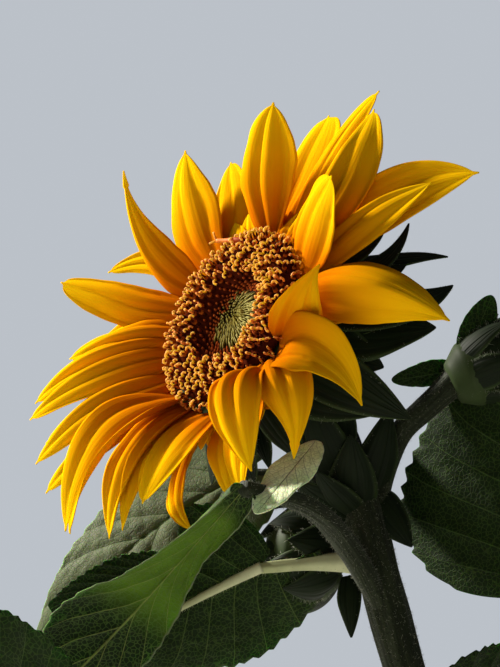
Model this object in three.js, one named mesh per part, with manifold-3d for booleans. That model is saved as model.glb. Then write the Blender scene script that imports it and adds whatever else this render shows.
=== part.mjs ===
// Sunflower plant: the flowering top of one stem, with its open head, two side buds and large leaves.
// Millimetres, +Z up. The origin is the middle of the flat cut under the stem.
import * as THREE from 'three';
import { mergeVertices } from 'three/addons/utils/BufferGeometryUtils.js';
import Module from 'manifold-3d';

const wasm = await Module();
wasm.setup();

// Driving dimensions
const GAP = 0.3; // clearance between neighbouring pieces
const HEAD = { centre: [-104, -46, 364], azimuth: -139, tilt: 10.5 }; // middle of the rim, where it faces
const DISC = { radius: 47, rim: 10, dish: 4, floor: 1, sides: 36 }; // floret disc, heights off its plane
const CUP = { radius: 48, depth: 30, neck: 12, sides: 28 }; // fleshy receptacle behind the disc
const STEM = { foot: 11, middle: 9.8, joint: 10.4, neck: 9.6 }; // radii up the stem
const PETAL = { thick: 1, rows: 7, columns: 4 };
const PETAL_ROOT = { radius: 48.7, depth: 1, backStep: 3 }; // where the front row stands, and the back row
const LEAF = { thick: 1.8, rows: 14, columns: 4, bite: 0.06 };
const LEAFLET = { thick: 1.2, rows: 8, columns: 2 };
const BRACT = { thick: 1.2, rows: 5, columns: 2 };
const BUD_BRACT = { thick: 1.2, rows: 4, columns: 2 };

const YELLOW = { color: 0xe8b00a, roughness: 0.55 };
const MAROON = { color: 0x5a2410, roughness: 0.8 };
const STEM_GREEN = { color: 0x6f7f45, roughness: 0.7 };
const LEAF_GREEN = { color: 0x2f4a1c, roughness: 0.6 };
const DARK_GREEN = { color: 0x24351a, roughness: 0.65 };

// Small helpers
const vec = (x, y, z) => new THREE.Vector3(x, y, z);
const rad = THREE.MathUtils.degToRad;
const mix = THREE.MathUtils.lerp;
const along = (start, ...steps) => {
  const p = start.clone();
  for (const [direction, distance] of steps) p.addScaledVector(direction, distance);
  return p;
};
const sumOf = (...steps) => along(vec(0, 0, 0), ...steps);

// The head's own axes: out of its face, towards its 12 o'clock, and towards its 3 o'clock
const headCentre = vec(...HEAD.centre);
const facing = vec(
  Math.cos(rad(HEAD.tilt)) * Math.cos(rad(HEAD.azimuth)),
  Math.cos(rad(HEAD.tilt)) * Math.sin(rad(HEAD.azimuth)),
  Math.sin(rad(HEAD.tilt)),
);
const noon = sumOf([vec(0, 0, 1), 1], [facing, -facing.z]).normalize();
const three = noon.clone().cross(facing);

function clock(angle) {
  // Outward and clockwise directions at an angle round the head, clockwise from its top.
  const c = Math.cos(rad(angle));
  const s = Math.sin(rad(angle));
  return { outward: sumOf([noon, c], [three, s]), onward: sumOf([noon, -s], [three, c]) };
}

function aimed({ outward, onward }, { lift, veer }) {
  // A direction that leaves the head's plane by the lift and turns clockwise by the veer.
  const flat = sumOf([outward, Math.cos(rad(veer))], [onward, Math.sin(rad(veer))]);
  return sumOf([flat, Math.cos(rad(lift))], [facing, Math.sin(rad(lift))]);
}

// Solids
function closedSolid(points, index) {
  const geometry = new THREE.BufferGeometry();
  const numbers = points.flatMap((p) => p.toArray());
  geometry.setAttribute('position', new THREE.Float32BufferAttribute(numbers, 3));
  geometry.setIndex(index);
  return geometry;
}

function loft(rings, flatEnds) {
  // Joins rings of equal count, each anticlockwise about the way they run. A flat ring is a blade's
  // section, upper points then lower ones, and its ends close from upper to lower points.
  const n = rings[0].length;
  const points = rings.flat();
  const index = [];
  for (let i = 0; i + 1 < rings.length; i++) {
    for (let j = 0; j < n; j++) {
      const a = i * n + j;
      const b = i * n + ((j + 1) % n);
      index.push(a, b, b + n, a, b + n, a + n);
    }
  }
  for (const [first, last] of [[0, false], [(rings.length - 1) * n, true]]) {
    if (flatEnds) {
      for (let j = 0; j < n / 2 - 1; j++) {
        const quad = [first + j, first + j + 1, first + n - 2 - j, first + n - 1 - j];
        const [a, b, c, d] = last ? quad : [...quad].reverse();
        index.push(a, b, c, a, c, d);
      }
    } else {
      const centre = points.length;
      const middle = vec(0, 0, 0);
      for (let j = 0; j < n; j++) middle.addScaledVector(points[first + j], 1 / n);
      points.push(middle);
      for (let j = 0; j < n; j++) {
        const a = first + j;
        const b = first + ((j + 1) % n);
        index.push(centre, ...(last ? [a, b] : [b, a]));
      }
    }
  }
  return closedSolid(points, index);
}

function tube(route, radii, { sides, steps, grow = 0, flatFoot = false }) {
  // A round limb along a smooth curve through the route, its radius running from each value to the next.
  const curve = new THREE.CatmullRomCurve3(route.map((p) => vec(...p)), false, 'centripetal');
  const frames = curve.computeFrenetFrames(steps, false);
  const rings = [];
  for (let i = 0; i <= steps; i++) {
    const t = i / steps;
    const k = Math.min(Math.floor(t * (radii.length - 1)), radii.length - 2);
    const radius = mix(radii[k], radii[k + 1], t * (radii.length - 1) - k) + grow;
    const centre = curve.getPointAt(t);
    if (i === 0) centre.addScaledVector(frames.tangents[0], -grow);
    if (i === steps) centre.addScaledVector(frames.tangents[steps], grow);
    const ring = [];
    for (let j = 0; j < sides; j++) {
      const a = (j / sides) * 2 * Math.PI;
      const spoke = sumOf([frames.normals[i], Math.cos(a)], [frames.binormals[i], Math.sin(a)]);
      const p = along(centre, [spoke, radius]);
      if (flatFoot && i === 0) p.z = 0;
      ring.push(p);
    }
    rings.push(ring);
  }
  return loft(rings, false);
}

// Outlines of blades: part of the half width at a part of the length
const petalOutline = (t) => 0.26 * (1 - t) ** 2 + 0.97 * Math.sin(Math.PI * t ** 0.8) ** 0.75;
const bractOutline = (t) => 0.75 * (1 - t) + 0.45 * Math.sin(Math.PI * t ** 0.8);
const budOutline = (t) => 0.3 * (1 - t) + 0.75 * Math.sin(Math.PI * t ** 1.1);
const leafOutline = (t) => 0.12 * (1 - t) + 0.98 * Math.sin(Math.PI * t ** 0.62) ** 0.72;
const longOutline = (t) => 0.25 * (1 - t) + 0.95 * Math.sin(Math.PI * t ** 1.7) ** 1.3;
const ovalOutline = (t) => 0.1 * (1 - t) + 0.95 * Math.sin(Math.PI * t ** 0.95) ** 0.6;

function blade(shape, grow = 0) {
  // A thin leaf or petal from its root along a bent centre line. Arch, hump and tip bend it out of its
  // face at its middle, near its root and at its end, bow bends it sideways, roll turns its face, cup
  // curls its section and curl its foot, lobes set the sides of its foot back, skew makes one of them
  // the longer, and teeth notch its margin.
  const s = {
    arch: 0, hump: 0, tip: 0, bow: 0, roll: 0, cup: 0, curl: 0, lobes: 0, skew: 0, bite: 0,
    outline: petalOutline, ...shape,
  };
  const edge = 0.35; // half width left at the very tip
  const direction = s.direction.clone().normalize();
  const side = s.face.clone().cross(direction).normalize();
  const face = direction.clone().cross(side);
  const across0 = sumOf([side, Math.cos(rad(s.roll))], [face, Math.sin(rad(s.roll))]);
  const centreLine = (t) => {
    const rise = s.arch * 4 * t * (1 - t) + s.hump * 9.5 * t * (1 - t) ** 3 + s.tip * t ** 4;
    const shift = s.bow * 4 * t * (1 - t);
    return along(s.root, [direction, s.length * t], [face, s.length * rise], [side, s.length * shift]);
  };
  const surface = (t, a) => {
    const ahead = centreLine(t + 0.01).sub(centreLine(t - 0.01)).normalize();
    const across = along(across0, [ahead, -across0.dot(ahead)]).normalize();
    const up = ahead.clone().cross(across);
    const half = (s.width / 2) * s.outline(Math.min(Math.max(t, 0), 1)) + grow + edge;
    const cup = s.cup + s.curl * (1 - t) ** 2 + 1e-3;
    const notch = 1 - s.bite * Math.abs(a) ** 6 * (Math.round(t * s.rows) % 2);
    const spread = (half * notch * Math.sin(cup * a)) / cup;
    const lift = (half * (1 - Math.cos(cup * a))) / cup;
    const back = s.lobes * (1 + s.skew * a) * s.length * a * a * (1 - t) ** 3;
    return along(centreLine(t), [across, spread], [up, lift], [ahead, -back]);
  };
  const thick = s.thick / 2 + grow;
  const margin = grow / s.length;
  const rings = [];
  for (let i = 0; i <= s.rows; i++) {
    const t = mix(-margin, 1 + margin, i / s.rows);
    const upper = [];
    const lower = [];
    for (let j = 0; j <= s.columns; j++) {
      const a = 1 - (2 * j) / s.columns;
      const d = 1e-3;
      const acrossStep = surface(t, a + d).sub(surface(t, a - d));
      const normal = surface(t + d, a).sub(surface(t - d, a)).cross(acrossStep).normalize();
      upper.push(along(surface(t, a), [normal, thick]));
      lower.unshift(along(surface(t, a), [normal, -thick]));
    }
    rings.push([...upper, ...lower]);
  }
  return loft(rings, true);
}

function bladeTo({ root, tip, face, ...shape }, grow) {
  // A blade from its root to its tip, with the way its upper face looks.
  const start = vec(...root);
  const direction = vec(...tip).sub(start);
  return blade({ ...shape, root: start, direction, length: direction.length(), face: vec(...face) }, grow);
}

function lathe(profile, sides) {
  return new THREE.LatheGeometry(profile.map(([r, y]) => new THREE.Vector2(r, y)), sides);
}

function onHead(geometry) {
  // From a lathe about Y to the head: Y becomes the way it faces.
  const basis = new THREE.Matrix4().makeBasis(three.clone().negate(), facing, noon);
  return geometry.applyMatrix4(basis.setPosition(headCentre));
}

// Joining and cutting
function toSolid(geometry) {
  const bare = geometry.clone();
  bare.deleteAttribute('normal');
  bare.deleteAttribute('uv');
  const merged = mergeVertices(bare, 1e-4);
  return new wasm.Manifold(new wasm.Mesh({
    numProp: 3,
    vertProperties: new Float32Array(merged.attributes.position.array),
    triVerts: new Uint32Array(merged.index.array),
  }));
}

function toGeometry(solid) {
  const mesh = solid.getMesh();
  const geometry = new THREE.BufferGeometry();
  geometry.setAttribute('position', new THREE.BufferAttribute(mesh.vertProperties, 3));
  geometry.setIndex(new THREE.BufferAttribute(mesh.triVerts, 1));
  return geometry;
}

function boxOf(solid) {
  const { min, max } = solid.boundingBox();
  return new THREE.Box3(vec(...min), vec(...max));
}

// Head
function disc(grow) {
  const r = DISC.radius + grow;
  const rim = DISC.rim + grow;
  const dish = DISC.dish + grow;
  return onHead(lathe([
    [0, DISC.floor - grow], [r, DISC.floor - grow], [r + 0.5, DISC.rim * 0.6], [r - 4, rim],
    [r * 0.7, rim - 0.5], [r * 0.5, dish + 2], [r * 0.25, dish], [0, dish],
  ], DISC.sides));
}

function receptacle(grow) {
  const r = CUP.radius + grow;
  const top = DISC.floor - GAP + grow;
  const cup = onHead(lathe([
    [0, -CUP.depth - grow], [CUP.neck + grow, -CUP.depth - grow], [r * 0.6, -CUP.depth * 0.62 - grow],
    [r * 0.92, -CUP.depth * 0.3 - grow], [r, -CUP.depth * 0.1], [r, top], [0, top],
  ], CUP.sides));
  return [cup, ...HEAD_BRACTS.map((bract) => headBract(bract, grow))];
}

// Rays of the head: clock angle of the root, length, width, lift out of the head's plane and clockwise
// veer in degrees, how the blade bends, and whether it stands in the back row
const PETALS = [
  { at: 314, length: 78, width: 22, lift: 40, veer: 26, bow: 0.12, tip: -0.04 },
  { at: 295, length: 80, width: 24, lift: 30, veer: -5, bow: 0.03 },
  { at: 332, length: 72, width: 29, lift: 20, veer: 18, bow: 0.1 },
  { at: 23, length: 69, width: 36, lift: 22, veer: -9, bow: 0.06, roll: 18 },
  { at: 57, length: 85, width: 31, lift: -4, veer: -30, bow: -0.06 },
  { at: 76, length: 52, width: 23, lift: 17, veer: -28, bow: 0.14 },
  { at: 79, length: 99, width: 27, lift: -19, veer: -19, bow: 0.19, roll: 30 },
  { at: 88, length: 79, width: 30, lift: -28, veer: 20, arch: 0.1, bow: 0.05 },
  { at: 117, length: 40, width: 20, lift: 30, veer: -58, bow: 0.1, roll: -112 },
  { at: 120, length: 56, width: 27, lift: -22, veer: 5, arch: 0.2, hump: 0.22 },
  { at: 129, length: 54, width: 24, lift: -10, veer: 38, arch: 0.12, hump: 0.1, bow: 0.16, roll: -30 },
  { at: 152, length: 50, width: 27, lift: 5, veer: 6, arch: 0.2, hump: 0.16, roll: -20 },
  { at: 186, length: 59, width: 29, lift: 22, veer: 0, arch: 0.12 },
  { at: 202, length: 69, width: 21, lift: 14, veer: -4, arch: 0.14 },
  { at: 213, length: 76, width: 22, lift: 12, veer: -14, arch: 0.18 },
  { at: 224, length: 86, width: 26, lift: 20, veer: -20, arch: 0.24 },
  { at: 247, length: 82, width: 22, lift: 24, veer: -14, arch: 0.12 },
  { at: 266, length: 81, width: 22, lift: 30, veer: -26, arch: 0.1 },
  { at: 282, length: 62, width: 20, lift: 28, veer: -24, arch: 0.08 },
  { at: 322, length: 72, width: 20, lift: 18, veer: -31, back: true },
  { at: 344, length: 63, width: 28, lift: 5, veer: 12, back: true },
  { at: 20, length: 82, width: 32, lift: -9, veer: -2, back: true },
  { at: 44, length: 90, width: 22, lift: -2, veer: -13, bow: 0.08, back: true },
  { at: 100, length: 62, width: 22, lift: -36, veer: -4, arch: 0.12, back: true },
  { at: 152, length: 56, width: 22, lift: 2, veer: 24, arch: 0.1, back: true },
  { at: 170, length: 50, width: 20, lift: -6, veer: 4, arch: 0.15, back: true },
  { at: 194, length: 66, width: 13, lift: 6, veer: -24, bow: -0.28, back: true },
  { at: 236, length: 83, width: 24, lift: 26, veer: -16, arch: 0.1, back: true },
  { at: 257, length: 78, width: 20, lift: 24, veer: -20, arch: 0.08, back: true },
  { at: 276, length: 83, width: 20, lift: 28, veer: -28, arch: 0.12, back: true },
  { at: 290, length: 60, width: 18, lift: 14, veer: -20, arch: 0.1, back: true },
];

function petal(ray, grow) {
  const radial = clock(ray.at);
  const depth = PETAL_ROOT.depth + (ray.back ? PETAL_ROOT.backStep : 0);
  const root = along(headCentre, [radial.outward, PETAL_ROOT.radius], [facing, -depth]);
  return blade({ ...PETAL, ...ray, root, direction: aimed(radial, ray), face: facing }, grow);
}

// Green bracts behind the rays, fused to the receptacle's back
const HEAD_BRACTS = [
  { at: 10, length: 42, width: 22, lift: -20, veer: 0 },
  { at: 40, length: 40, width: 20, lift: -20, veer: 0 },
  { at: 56, length: 50, width: 18, lift: -28, veer: 4 },
  { at: 64, length: 61, width: 18, lift: -34, veer: -6 },
  { at: 72, length: 73, width: 20, lift: -41, veer: -8 },
  { at: 86, length: 75, width: 30, lift: -48, veer: -24 },
  { at: 97, length: 62, width: 34, lift: -50, veer: -8 },
  { at: 108, length: 50, width: 28, lift: -50, veer: 0 },
  { at: 122, length: 66, width: 30, lift: -46, veer: 2 },
  { at: 136, length: 46, width: 26, lift: -50, veer: -20 },
  { at: 160, length: 40, width: 22, lift: -40, veer: 0 },
  { at: 186, length: 40, width: 22, lift: -35, veer: 0 },
  { at: 212, length: 42, width: 22, lift: -30, veer: 0 },
  { at: 238, length: 42, width: 22, lift: -25, veer: 0 },
  { at: 264, length: 42, width: 22, lift: -25, veer: 0 },
  { at: 290, length: 42, width: 22, lift: -25, veer: 0 },
  { at: 316, length: 42, width: 22, lift: -20, veer: 0 },
  { at: 342, length: 42, width: 22, lift: -20, veer: 0 },
];

function headBract(bract, grow) {
  const radial = clock(bract.at);
  const root = along(headCentre, [radial.outward, CUP.radius * 0.83], [facing, -CUP.depth * 0.42]);
  const shape = { ...BRACT, ...bract, outline: bractOutline };
  return blade({ ...shape, root, direction: aimed(radial, bract), face: facing }, grow);
}

// Stem, neck and side branch
const STEM_ROUTE = [[0, 0, 0], [0, 0, 70], [-8, -1, 150], [-20, -1, 203], [-30, 0, 245], [-36, 0, 272]];
const NECK_ROUTE = [
  [-36, 0, 273], [-41, 0, 291], [-48, 2, 318], [-60, -2, 342], [-76, -20, 357], [-80, -25, 359],
];
const BRANCH_ROUTE = [[-33, 4, 277], [-26, -1, 302], [-18, -6, 320], [-6, -11, 331], [10, -17, 345]];
const BRANCH_RADII = [5, 5.5, 6, 7];

function stem(grow) {
  const radii = [STEM.foot, STEM.foot * 0.97, STEM.middle * 1.04, STEM.middle, STEM.joint, STEM.joint];
  return [tube(STEM_ROUTE, radii, { sides: 16, steps: 12, grow, flatFoot: grow === 0 })];
}

function neck(grow) {
  const radii = [STEM.joint, STEM.middle, STEM.neck, STEM.neck * 1.1, CUP.neck];
  const bracts = NECK_BRACTS.map((bract) => {
    return bladeTo({ ...BRACT, ...bract, outline: bractOutline, cup: 0.5, arch: -0.08 }, grow);
  });
  return [tube(NECK_ROUTE, radii, { sides: 14, steps: 12, grow }), ...bracts];
}

function sideBranch(grow) {
  return [tube(BRANCH_ROUTE, BRANCH_RADII, { sides: 10, steps: 8, grow })];
}

// Leafy bracts fused to the neck: root, tip, width and the way the inner face looks
const NECK_BRACTS = [
  { root: [-47, -10, 311], tip: [-50, -42, 334], width: 15, face: [0, 0.8, 0.6] },
  { root: [-34, 0, 290], tip: [-14, -4, 261], width: 22, face: [0, 1, 0] },
  { root: [-38, 0, 284], tip: [-24, -21, 329], width: 26, face: [-0.3, 0.9, 0.2] },
  { root: [-46, -2, 284], tip: [-64, -36, 327], width: 22, face: [0.3, 0.8, 0.5] },
  { root: [-43, -4, 279], tip: [-45, -31, 311], width: 28, face: [0, 0.8, 0.6] },
  { root: [-39, 4, 288], tip: [-26, 22, 335], width: 24, face: [-0.8, -0.2, 0.4] },
  { root: [-46, 5, 294], tip: [-57, 24, 338], width: 22, face: [0.1, -1, 0.4] },
  { root: [-43, -4, 278], tip: [-62, -28, 293], width: 20, face: [0.2, 0.6, 0.7] },
];

// Leaves: root and tip of the blade, the way its upper face looks, its width and bends, and the route
// and radii of its stalk from inside the stem
const LEAVES = {
  upper_left: {
    root: [-96, 18, 307], tip: [-206, 38, 212], face: [-0.4, -0.88, 0.18],
    width: 74, lobes: 0.1, arch: 0.05, bow: -0.05, cup: -0.25,
    stalk: [[-41, 3, 288], [-66, 16, 303], [-98, 18, 306]], radii: [4.5, 3],
  },
  lower_left: {
    root: [-97, -87, 268], tip: [-193, 4, 187], face: [-0.3, 0.55, 0.76],
    width: 60, arch: 0.04, bow: -0.04, roll: 20, cup: -0.5, curl: -1.5, outline: longOutline,
    stalk: [[-38, -1, 238], [-56, -34, 254], [-74, -66, 264], [-98, -88, 267]], radii: [7.5, 5.5, 4],
  },
  lower_middle: {
    root: [-89, 0, 252], tip: [-171, 8, 208], face: [0.05, 0.8, 0.6],
    width: 84, lobes: 0.2, skew: -0.6, arch: 0.05, cup: 0.3,
    stalk: [[-36, 1, 255], [-65, 1, 254], [-91, 0, 251]], radii: [4.5, 3],
  },
  right: {
    root: [46, -14, 246], tip: [44, -44, 366], face: [0.2, 0.6, 0.5],
    width: 140, lobes: 0.1, arch: 0.05, cup: 0.5,
    stalk: [[-9, -1, 150], [25, -8, 190], [46, -14, 248]], radii: [6, 4],
  },
  corner_left: {
    root: [-192, -37, 157], tip: [-253, -54, 225], face: [-0.1, 0.5, 0.85],
    width: 76, lobes: 0.12, arch: 0.05, cup: 0.2,
    stalk: [[-5, -1, 122], [-60, -16, 128], [-120, -28, 136], [-194, -38, 158]], radii: [6, 5, 4],
  },
  corner_right: {
    root: [1, 43, 178], tip: [84, 65, 207], face: [0, 0.6, 0.8],
    width: 76, lobes: 0.12, arch: 0.05, cup: 0.2,
    stalk: [[-9, 0, 142], [-3, 22, 158], [2, 44, 179]], radii: [5, 4],
  },
};

// Small leaves: one on the neck under the head, and two by the right bud
const LEAFLETS = {
  front: { root: [-64, -70, 296], tip: [-95, -94, 256], face: [-0.4, -0.78, 0.33], width: 22 },
  bud_upper: { root: [14, -23, 352], tip: [28, -39, 383], face: [0.1, 0.8, 0.4], width: 17 },
  bud_side: { root: [16, -11, 354], tip: [-22, -12, 347], face: [0, 0.6, 0.7], width: 14 },
};

// Buds: foot and top of the closed head, its radius, and the route of a stalk from inside the stem
const BUDS = {
  left: { foot: [-46, 26, 262], top: [-88, 26, 266], radius: 26, stalk: [[-36, 4, 252], [-47, 26, 262]] },
  right: { foot: [7, -15, 343], top: [56, -24, 363], radius: 20 },
};
const BUD_PROFILE = [[0, 0], [0.35, 0.02], [0.75, 0.2], [0.88, 0.48], [0.76, 0.74], [0.4, 0.95], [0, 1]];
const BUD_STALK = [4, 5];
const BUD_ROOT = { height: 0.02, radius: 0.1 }; // where its bracts start, in lengths and radii of the bud
const BUD_TIP = { height: 0.78, radius: 1.12, bulge: 0.3 }; // where they end, and how far they bulge
const BUD_COUNT = 6; // its bracts

function bud({ foot, top, radius, stalk }, grow) {
  // A round core, pointed bracts that close over it, and its short stalk.
  const start = vec(...foot);
  const axis = vec(...top).sub(start);
  const length = axis.length();
  axis.normalize();
  const side = vec(0, 0, 1).cross(axis).normalize();
  const up = side.clone().cross(axis);
  const profile = BUD_PROFILE.map(([r, y]) => [r ? r * radius + grow : 0, y * (length + 2 * grow) - grow]);
  const core = lathe(profile, 2 * BUD_COUNT);
  core.applyMatrix4(new THREE.Matrix4().makeBasis(side, axis, up).setPosition(start));
  const pieces = [core];
  for (let i = 0; i < BUD_COUNT; i++) {
    const a = (i / BUD_COUNT) * 2 * Math.PI;
    const outward = sumOf([side, Math.cos(a)], [up, Math.sin(a)]);
    const root = along(start, [axis, length * BUD_ROOT.height], [outward, radius * BUD_ROOT.radius]);
    const tip = along(start, [axis, length * BUD_TIP.height], [outward, radius * BUD_TIP.radius]);
    const direction = tip.sub(root);
    const arch = (-BUD_TIP.bulge * radius) / direction.length();
    const size = { length: direction.length(), width: radius, arch, outline: budOutline };
    pieces.push(blade({ ...BUD_BRACT, ...size, root, direction, face: outward.negate() }, grow));
  }
  if (stalk) pieces.push(tube(stalk, BUD_STALK, { sides: 8, steps: 2, grow }));
  return pieces;
}

// Assembly: each piece is cut clear of those placed before it, and only its main part stays
const plant = new THREE.Group();
const placed = [];

function place(name, maker, material) {
  const joined = (grow) => maker(grow).map(toSolid).reduce((a, b) => a.add(b));
  let solid = joined(0);
  const box = boxOf(solid);
  for (const other of placed) {
    if (other.box.intersectsBox(box)) solid = solid.subtract(other.grown);
  }
  const [main] = solid.decompose().sort((a, b) => b.volume() - a.volume());
  const grown = joined(GAP);
  placed.push({ box: boxOf(grown), grown });
  const finish = new THREE.MeshStandardMaterial({ metalness: 0, ...material });
  const mesh = new THREE.Mesh(toGeometry(main), finish);
  mesh.name = name;
  plant.add(mesh);
}

place('stem', stem, STEM_GREEN);
place('neck', neck, STEM_GREEN);
place('disc', (grow) => [disc(grow)], MAROON);
place('receptacle', receptacle, DARK_GREEN);
PETALS.forEach((ray, i) => {
  place(`petal_${String(i + 1).padStart(2, '0')}`, (grow) => [petal(ray, grow)], YELLOW);
});
place('side_branch', sideBranch, STEM_GREEN);
for (const [name, shape] of Object.entries(BUDS)) {
  place(`bud_${name}`, (grow) => bud(shape, grow), DARK_GREEN);
}
for (const [name, { stalk, radii, ...shape }] of Object.entries(LEAVES)) {
  place(`stalk_${name}`, (grow) => [tube(stalk, radii, { sides: 8, steps: 8, grow })], STEM_GREEN);
  const leaf = { ...LEAF, outline: leafOutline, ...shape };
  place(`leaf_${name}`, (grow) => [bladeTo(leaf, grow)], LEAF_GREEN);
}
for (const [name, shape] of Object.entries(LEAFLETS)) {
  const leaf = { ...LEAFLET, outline: ovalOutline, ...shape };
  place(`leaflet_${name}`, (grow) => [bladeTo(leaf, grow)], LEAF_GREEN);
}

export default plant;
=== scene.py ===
# Sunflower plant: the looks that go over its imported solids.
# The arrays are in millimetres in the frame's axes, and every mesh is written in metres.
import math

import bpy
import numpy as np
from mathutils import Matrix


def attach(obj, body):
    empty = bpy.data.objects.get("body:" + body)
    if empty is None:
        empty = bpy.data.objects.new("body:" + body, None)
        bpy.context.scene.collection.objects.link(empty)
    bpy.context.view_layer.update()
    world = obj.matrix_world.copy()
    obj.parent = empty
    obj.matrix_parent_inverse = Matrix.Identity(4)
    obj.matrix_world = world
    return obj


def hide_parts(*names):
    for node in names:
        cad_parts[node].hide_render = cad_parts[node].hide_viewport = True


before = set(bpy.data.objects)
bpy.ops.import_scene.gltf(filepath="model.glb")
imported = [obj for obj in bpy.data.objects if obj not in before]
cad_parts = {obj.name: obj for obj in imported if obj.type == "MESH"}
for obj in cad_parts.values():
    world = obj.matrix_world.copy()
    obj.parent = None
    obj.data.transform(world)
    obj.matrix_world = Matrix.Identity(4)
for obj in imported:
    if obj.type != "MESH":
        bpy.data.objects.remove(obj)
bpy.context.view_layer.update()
print("frame loaded:", len(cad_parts), "nodes")

up = np.array([0.0, 0.0, 1.0])


# Vectors scaled to length one.
def unit(v):
    v = np.asarray(v, float)
    return v / np.maximum(np.linalg.norm(v, axis=-1, keepdims=True), 1e-9)


# From a to b by the part w.
def mix(a, b, w):
    return a + (b - a) * w


# 0 below low, 1 above high, smooth between them.
def ease(low, high, x):
    w = np.clip((x - low) / (high - low), 0, 1)
    return w * w * (3 - 2 * w)


# Smooth seeded waves over two parameters: the sum of a few sines of random heading, about -1 to 1.
def ripple(u, v, seed, size=1.0, count=6):
    rng = np.random.default_rng(seed)
    total = 0
    for turn, phase, pace in rng.random((count, 3)):
        heading = 2 * math.pi * turn
        reach = (0.6 + pace) * 2 * math.pi / size
        total = total + np.sin(reach * (u * math.cos(heading) + v * math.sin(heading)) + 2 * math.pi * phase)
    return total / count * 1.6


# A patch is a dictionary: points (n, 3), faces (a list of index arrays), flow (n, 2) for the UV map,
# upper (n,) 1 on a blade's upper side, and tone (n,) for whatever a finish needs.
def makePatch(points, faces, **values):
    n = len(points)
    plain = {"flow": np.zeros((n, 2)), "upper": np.zeros(n), "tone": np.zeros(n)}
    return {"points": points, "faces": faces, **plain, **values}


def joinPatches(patches):
    starts = np.cumsum([0] + [len(p["points"]) for p in patches])
    faces = [f + start for p, start in zip(patches, starts) for f in p["faces"]]
    joined = {key: np.concatenate([p[key] for p in patches]) for key in ("points", "flow", "upper", "tone")}
    return {**joined, "faces": faces}


def newObject(name, data):
    thing = bpy.data.objects.new(name, data)
    bpy.context.scene.collection.objects.link(thing)
    return thing


# Writes patches into one smooth mesh that rides on the plant and stands for its nodes.
def addPiece(name, patches, material, nodes):
    patch = joinPatches(patches)
    mesh = bpy.data.meshes.new(name)
    corners = np.concatenate([f.ravel() for f in patch["faces"]])
    sizes = np.concatenate([np.full(len(f), f.shape[1]) for f in patch["faces"]])
    mesh.vertices.add(len(patch["points"]))
    mesh.vertices.foreach_set("co", (patch["points"] / 1000).ravel())
    mesh.loops.add(len(corners))
    mesh.loops.foreach_set("vertex_index", corners)
    mesh.polygons.add(len(sizes))
    mesh.polygons.foreach_set("loop_start", np.cumsum(sizes) - sizes)
    mesh.update(calc_edges=True)
    mesh.shade_smooth()
    mesh.uv_layers.new(name="flow").data.foreach_set("uv", patch["flow"][corners].ravel())
    for key in ("upper", "tone"):
        mesh.attributes.new(key, "FLOAT", "POINT").data.foreach_set("value", patch[key])
    mesh.materials.append(material)
    piece = newObject(name, mesh)
    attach(piece, "root")
    if nodes:
        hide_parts(*nodes)


# Quads between rings of n points; a ring closes on itself.
def ringFaces(rings, n):
    i, j = np.meshgrid(np.arange(rings - 1), np.arange(n), indexing="ij")
    a, b = i * n + j, i * n + (j + 1) % n
    return np.stack([a, b, b + n, a + n], -1).reshape(-1, 4)


# Triangles that close a ring to one middle point.
def capFaces(first, n, middle, last):
    j = np.arange(n)
    a, b = first + j, first + (j + 1) % n
    pair = (a, b) if last else (b, a)
    return np.stack([np.full(n, middle), *pair], -1)


# A closed patch from a grid of rings whose ends close to two points; flip turns its faces round.
def closedRings(grid, ends, flip=False, **values):
    rings, sides = grid.shape[:2]
    points = np.concatenate([grid.reshape(-1, 3), ends])
    middle = len(points) - 2
    faces = [
        ringFaces(rings, sides), capFaces(0, sides, middle, False),
        capFaces((rings - 1) * sides, sides, middle + 1, True),
    ]
    return makePatch(points, [f[:, ::-1] for f in faces] if flip else faces, **values)


# Angles at even steps round a circle, and the directions there between one side and the other.
def turns(count):
    return np.arange(count) / count * 2 * np.pi


def spokes(one, other, count):
    turn = turns(count)[:, None]
    return one[..., None, :] * np.cos(turn) + other[..., None, :] * np.sin(turn)


# How a leaf, bract or petal runs where its own values don't say otherwise.
plainBlade = {
    "arch": 0, "hump": 0, "tip": 0, "bow": 0, "hook": 0, "roll": 0, "cup": 0, "curl": 0, "lobes": 0,
    "skew": 0, "edge": 0.35, "fork": 0,
}


# Part of the half width at a part t of the length, the same curves as the solids have. Swell moves a
# petal's widest place towards its tip, and a smaller blunt power makes the tip rounder.
def petalOutline(swell, blunt):
    def width(t):
        body = np.maximum(np.sin(np.pi * np.minimum(t / 0.975, 1) ** swell), 0) ** blunt
        return np.maximum(0.26 * (1 - t) ** 2 + 0.97 * body, (t > 0.9) * 1.8 * (1 - t))

    return width


# Any other blade's: a foot that fades to the tip, and a bulge that a larger place moves towards the tip.
def bladeOutline(foot, bulge, place, blunt, fade=1):
    def width(t):
        return foot * (1 - fade * t) + bulge * np.maximum(np.sin(np.pi * t ** place), 0) ** blunt

    return width


bractOutline, budOutline = bladeOutline(0.68, 0.5, 0.9, 0.85), bladeOutline(0.3, 0.75, 1.1, 1)
leafOutline, longOutline = bladeOutline(0.12, 0.98, 0.62, 0.72), bladeOutline(0.42, 0.92, 2.3, 1.1)
foldOutline, ovalOutline = bladeOutline(0.2, 0.8, 0.8, 0.8, 0), bladeOutline(0.1, 0.95, 0.95, 0.6)


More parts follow.
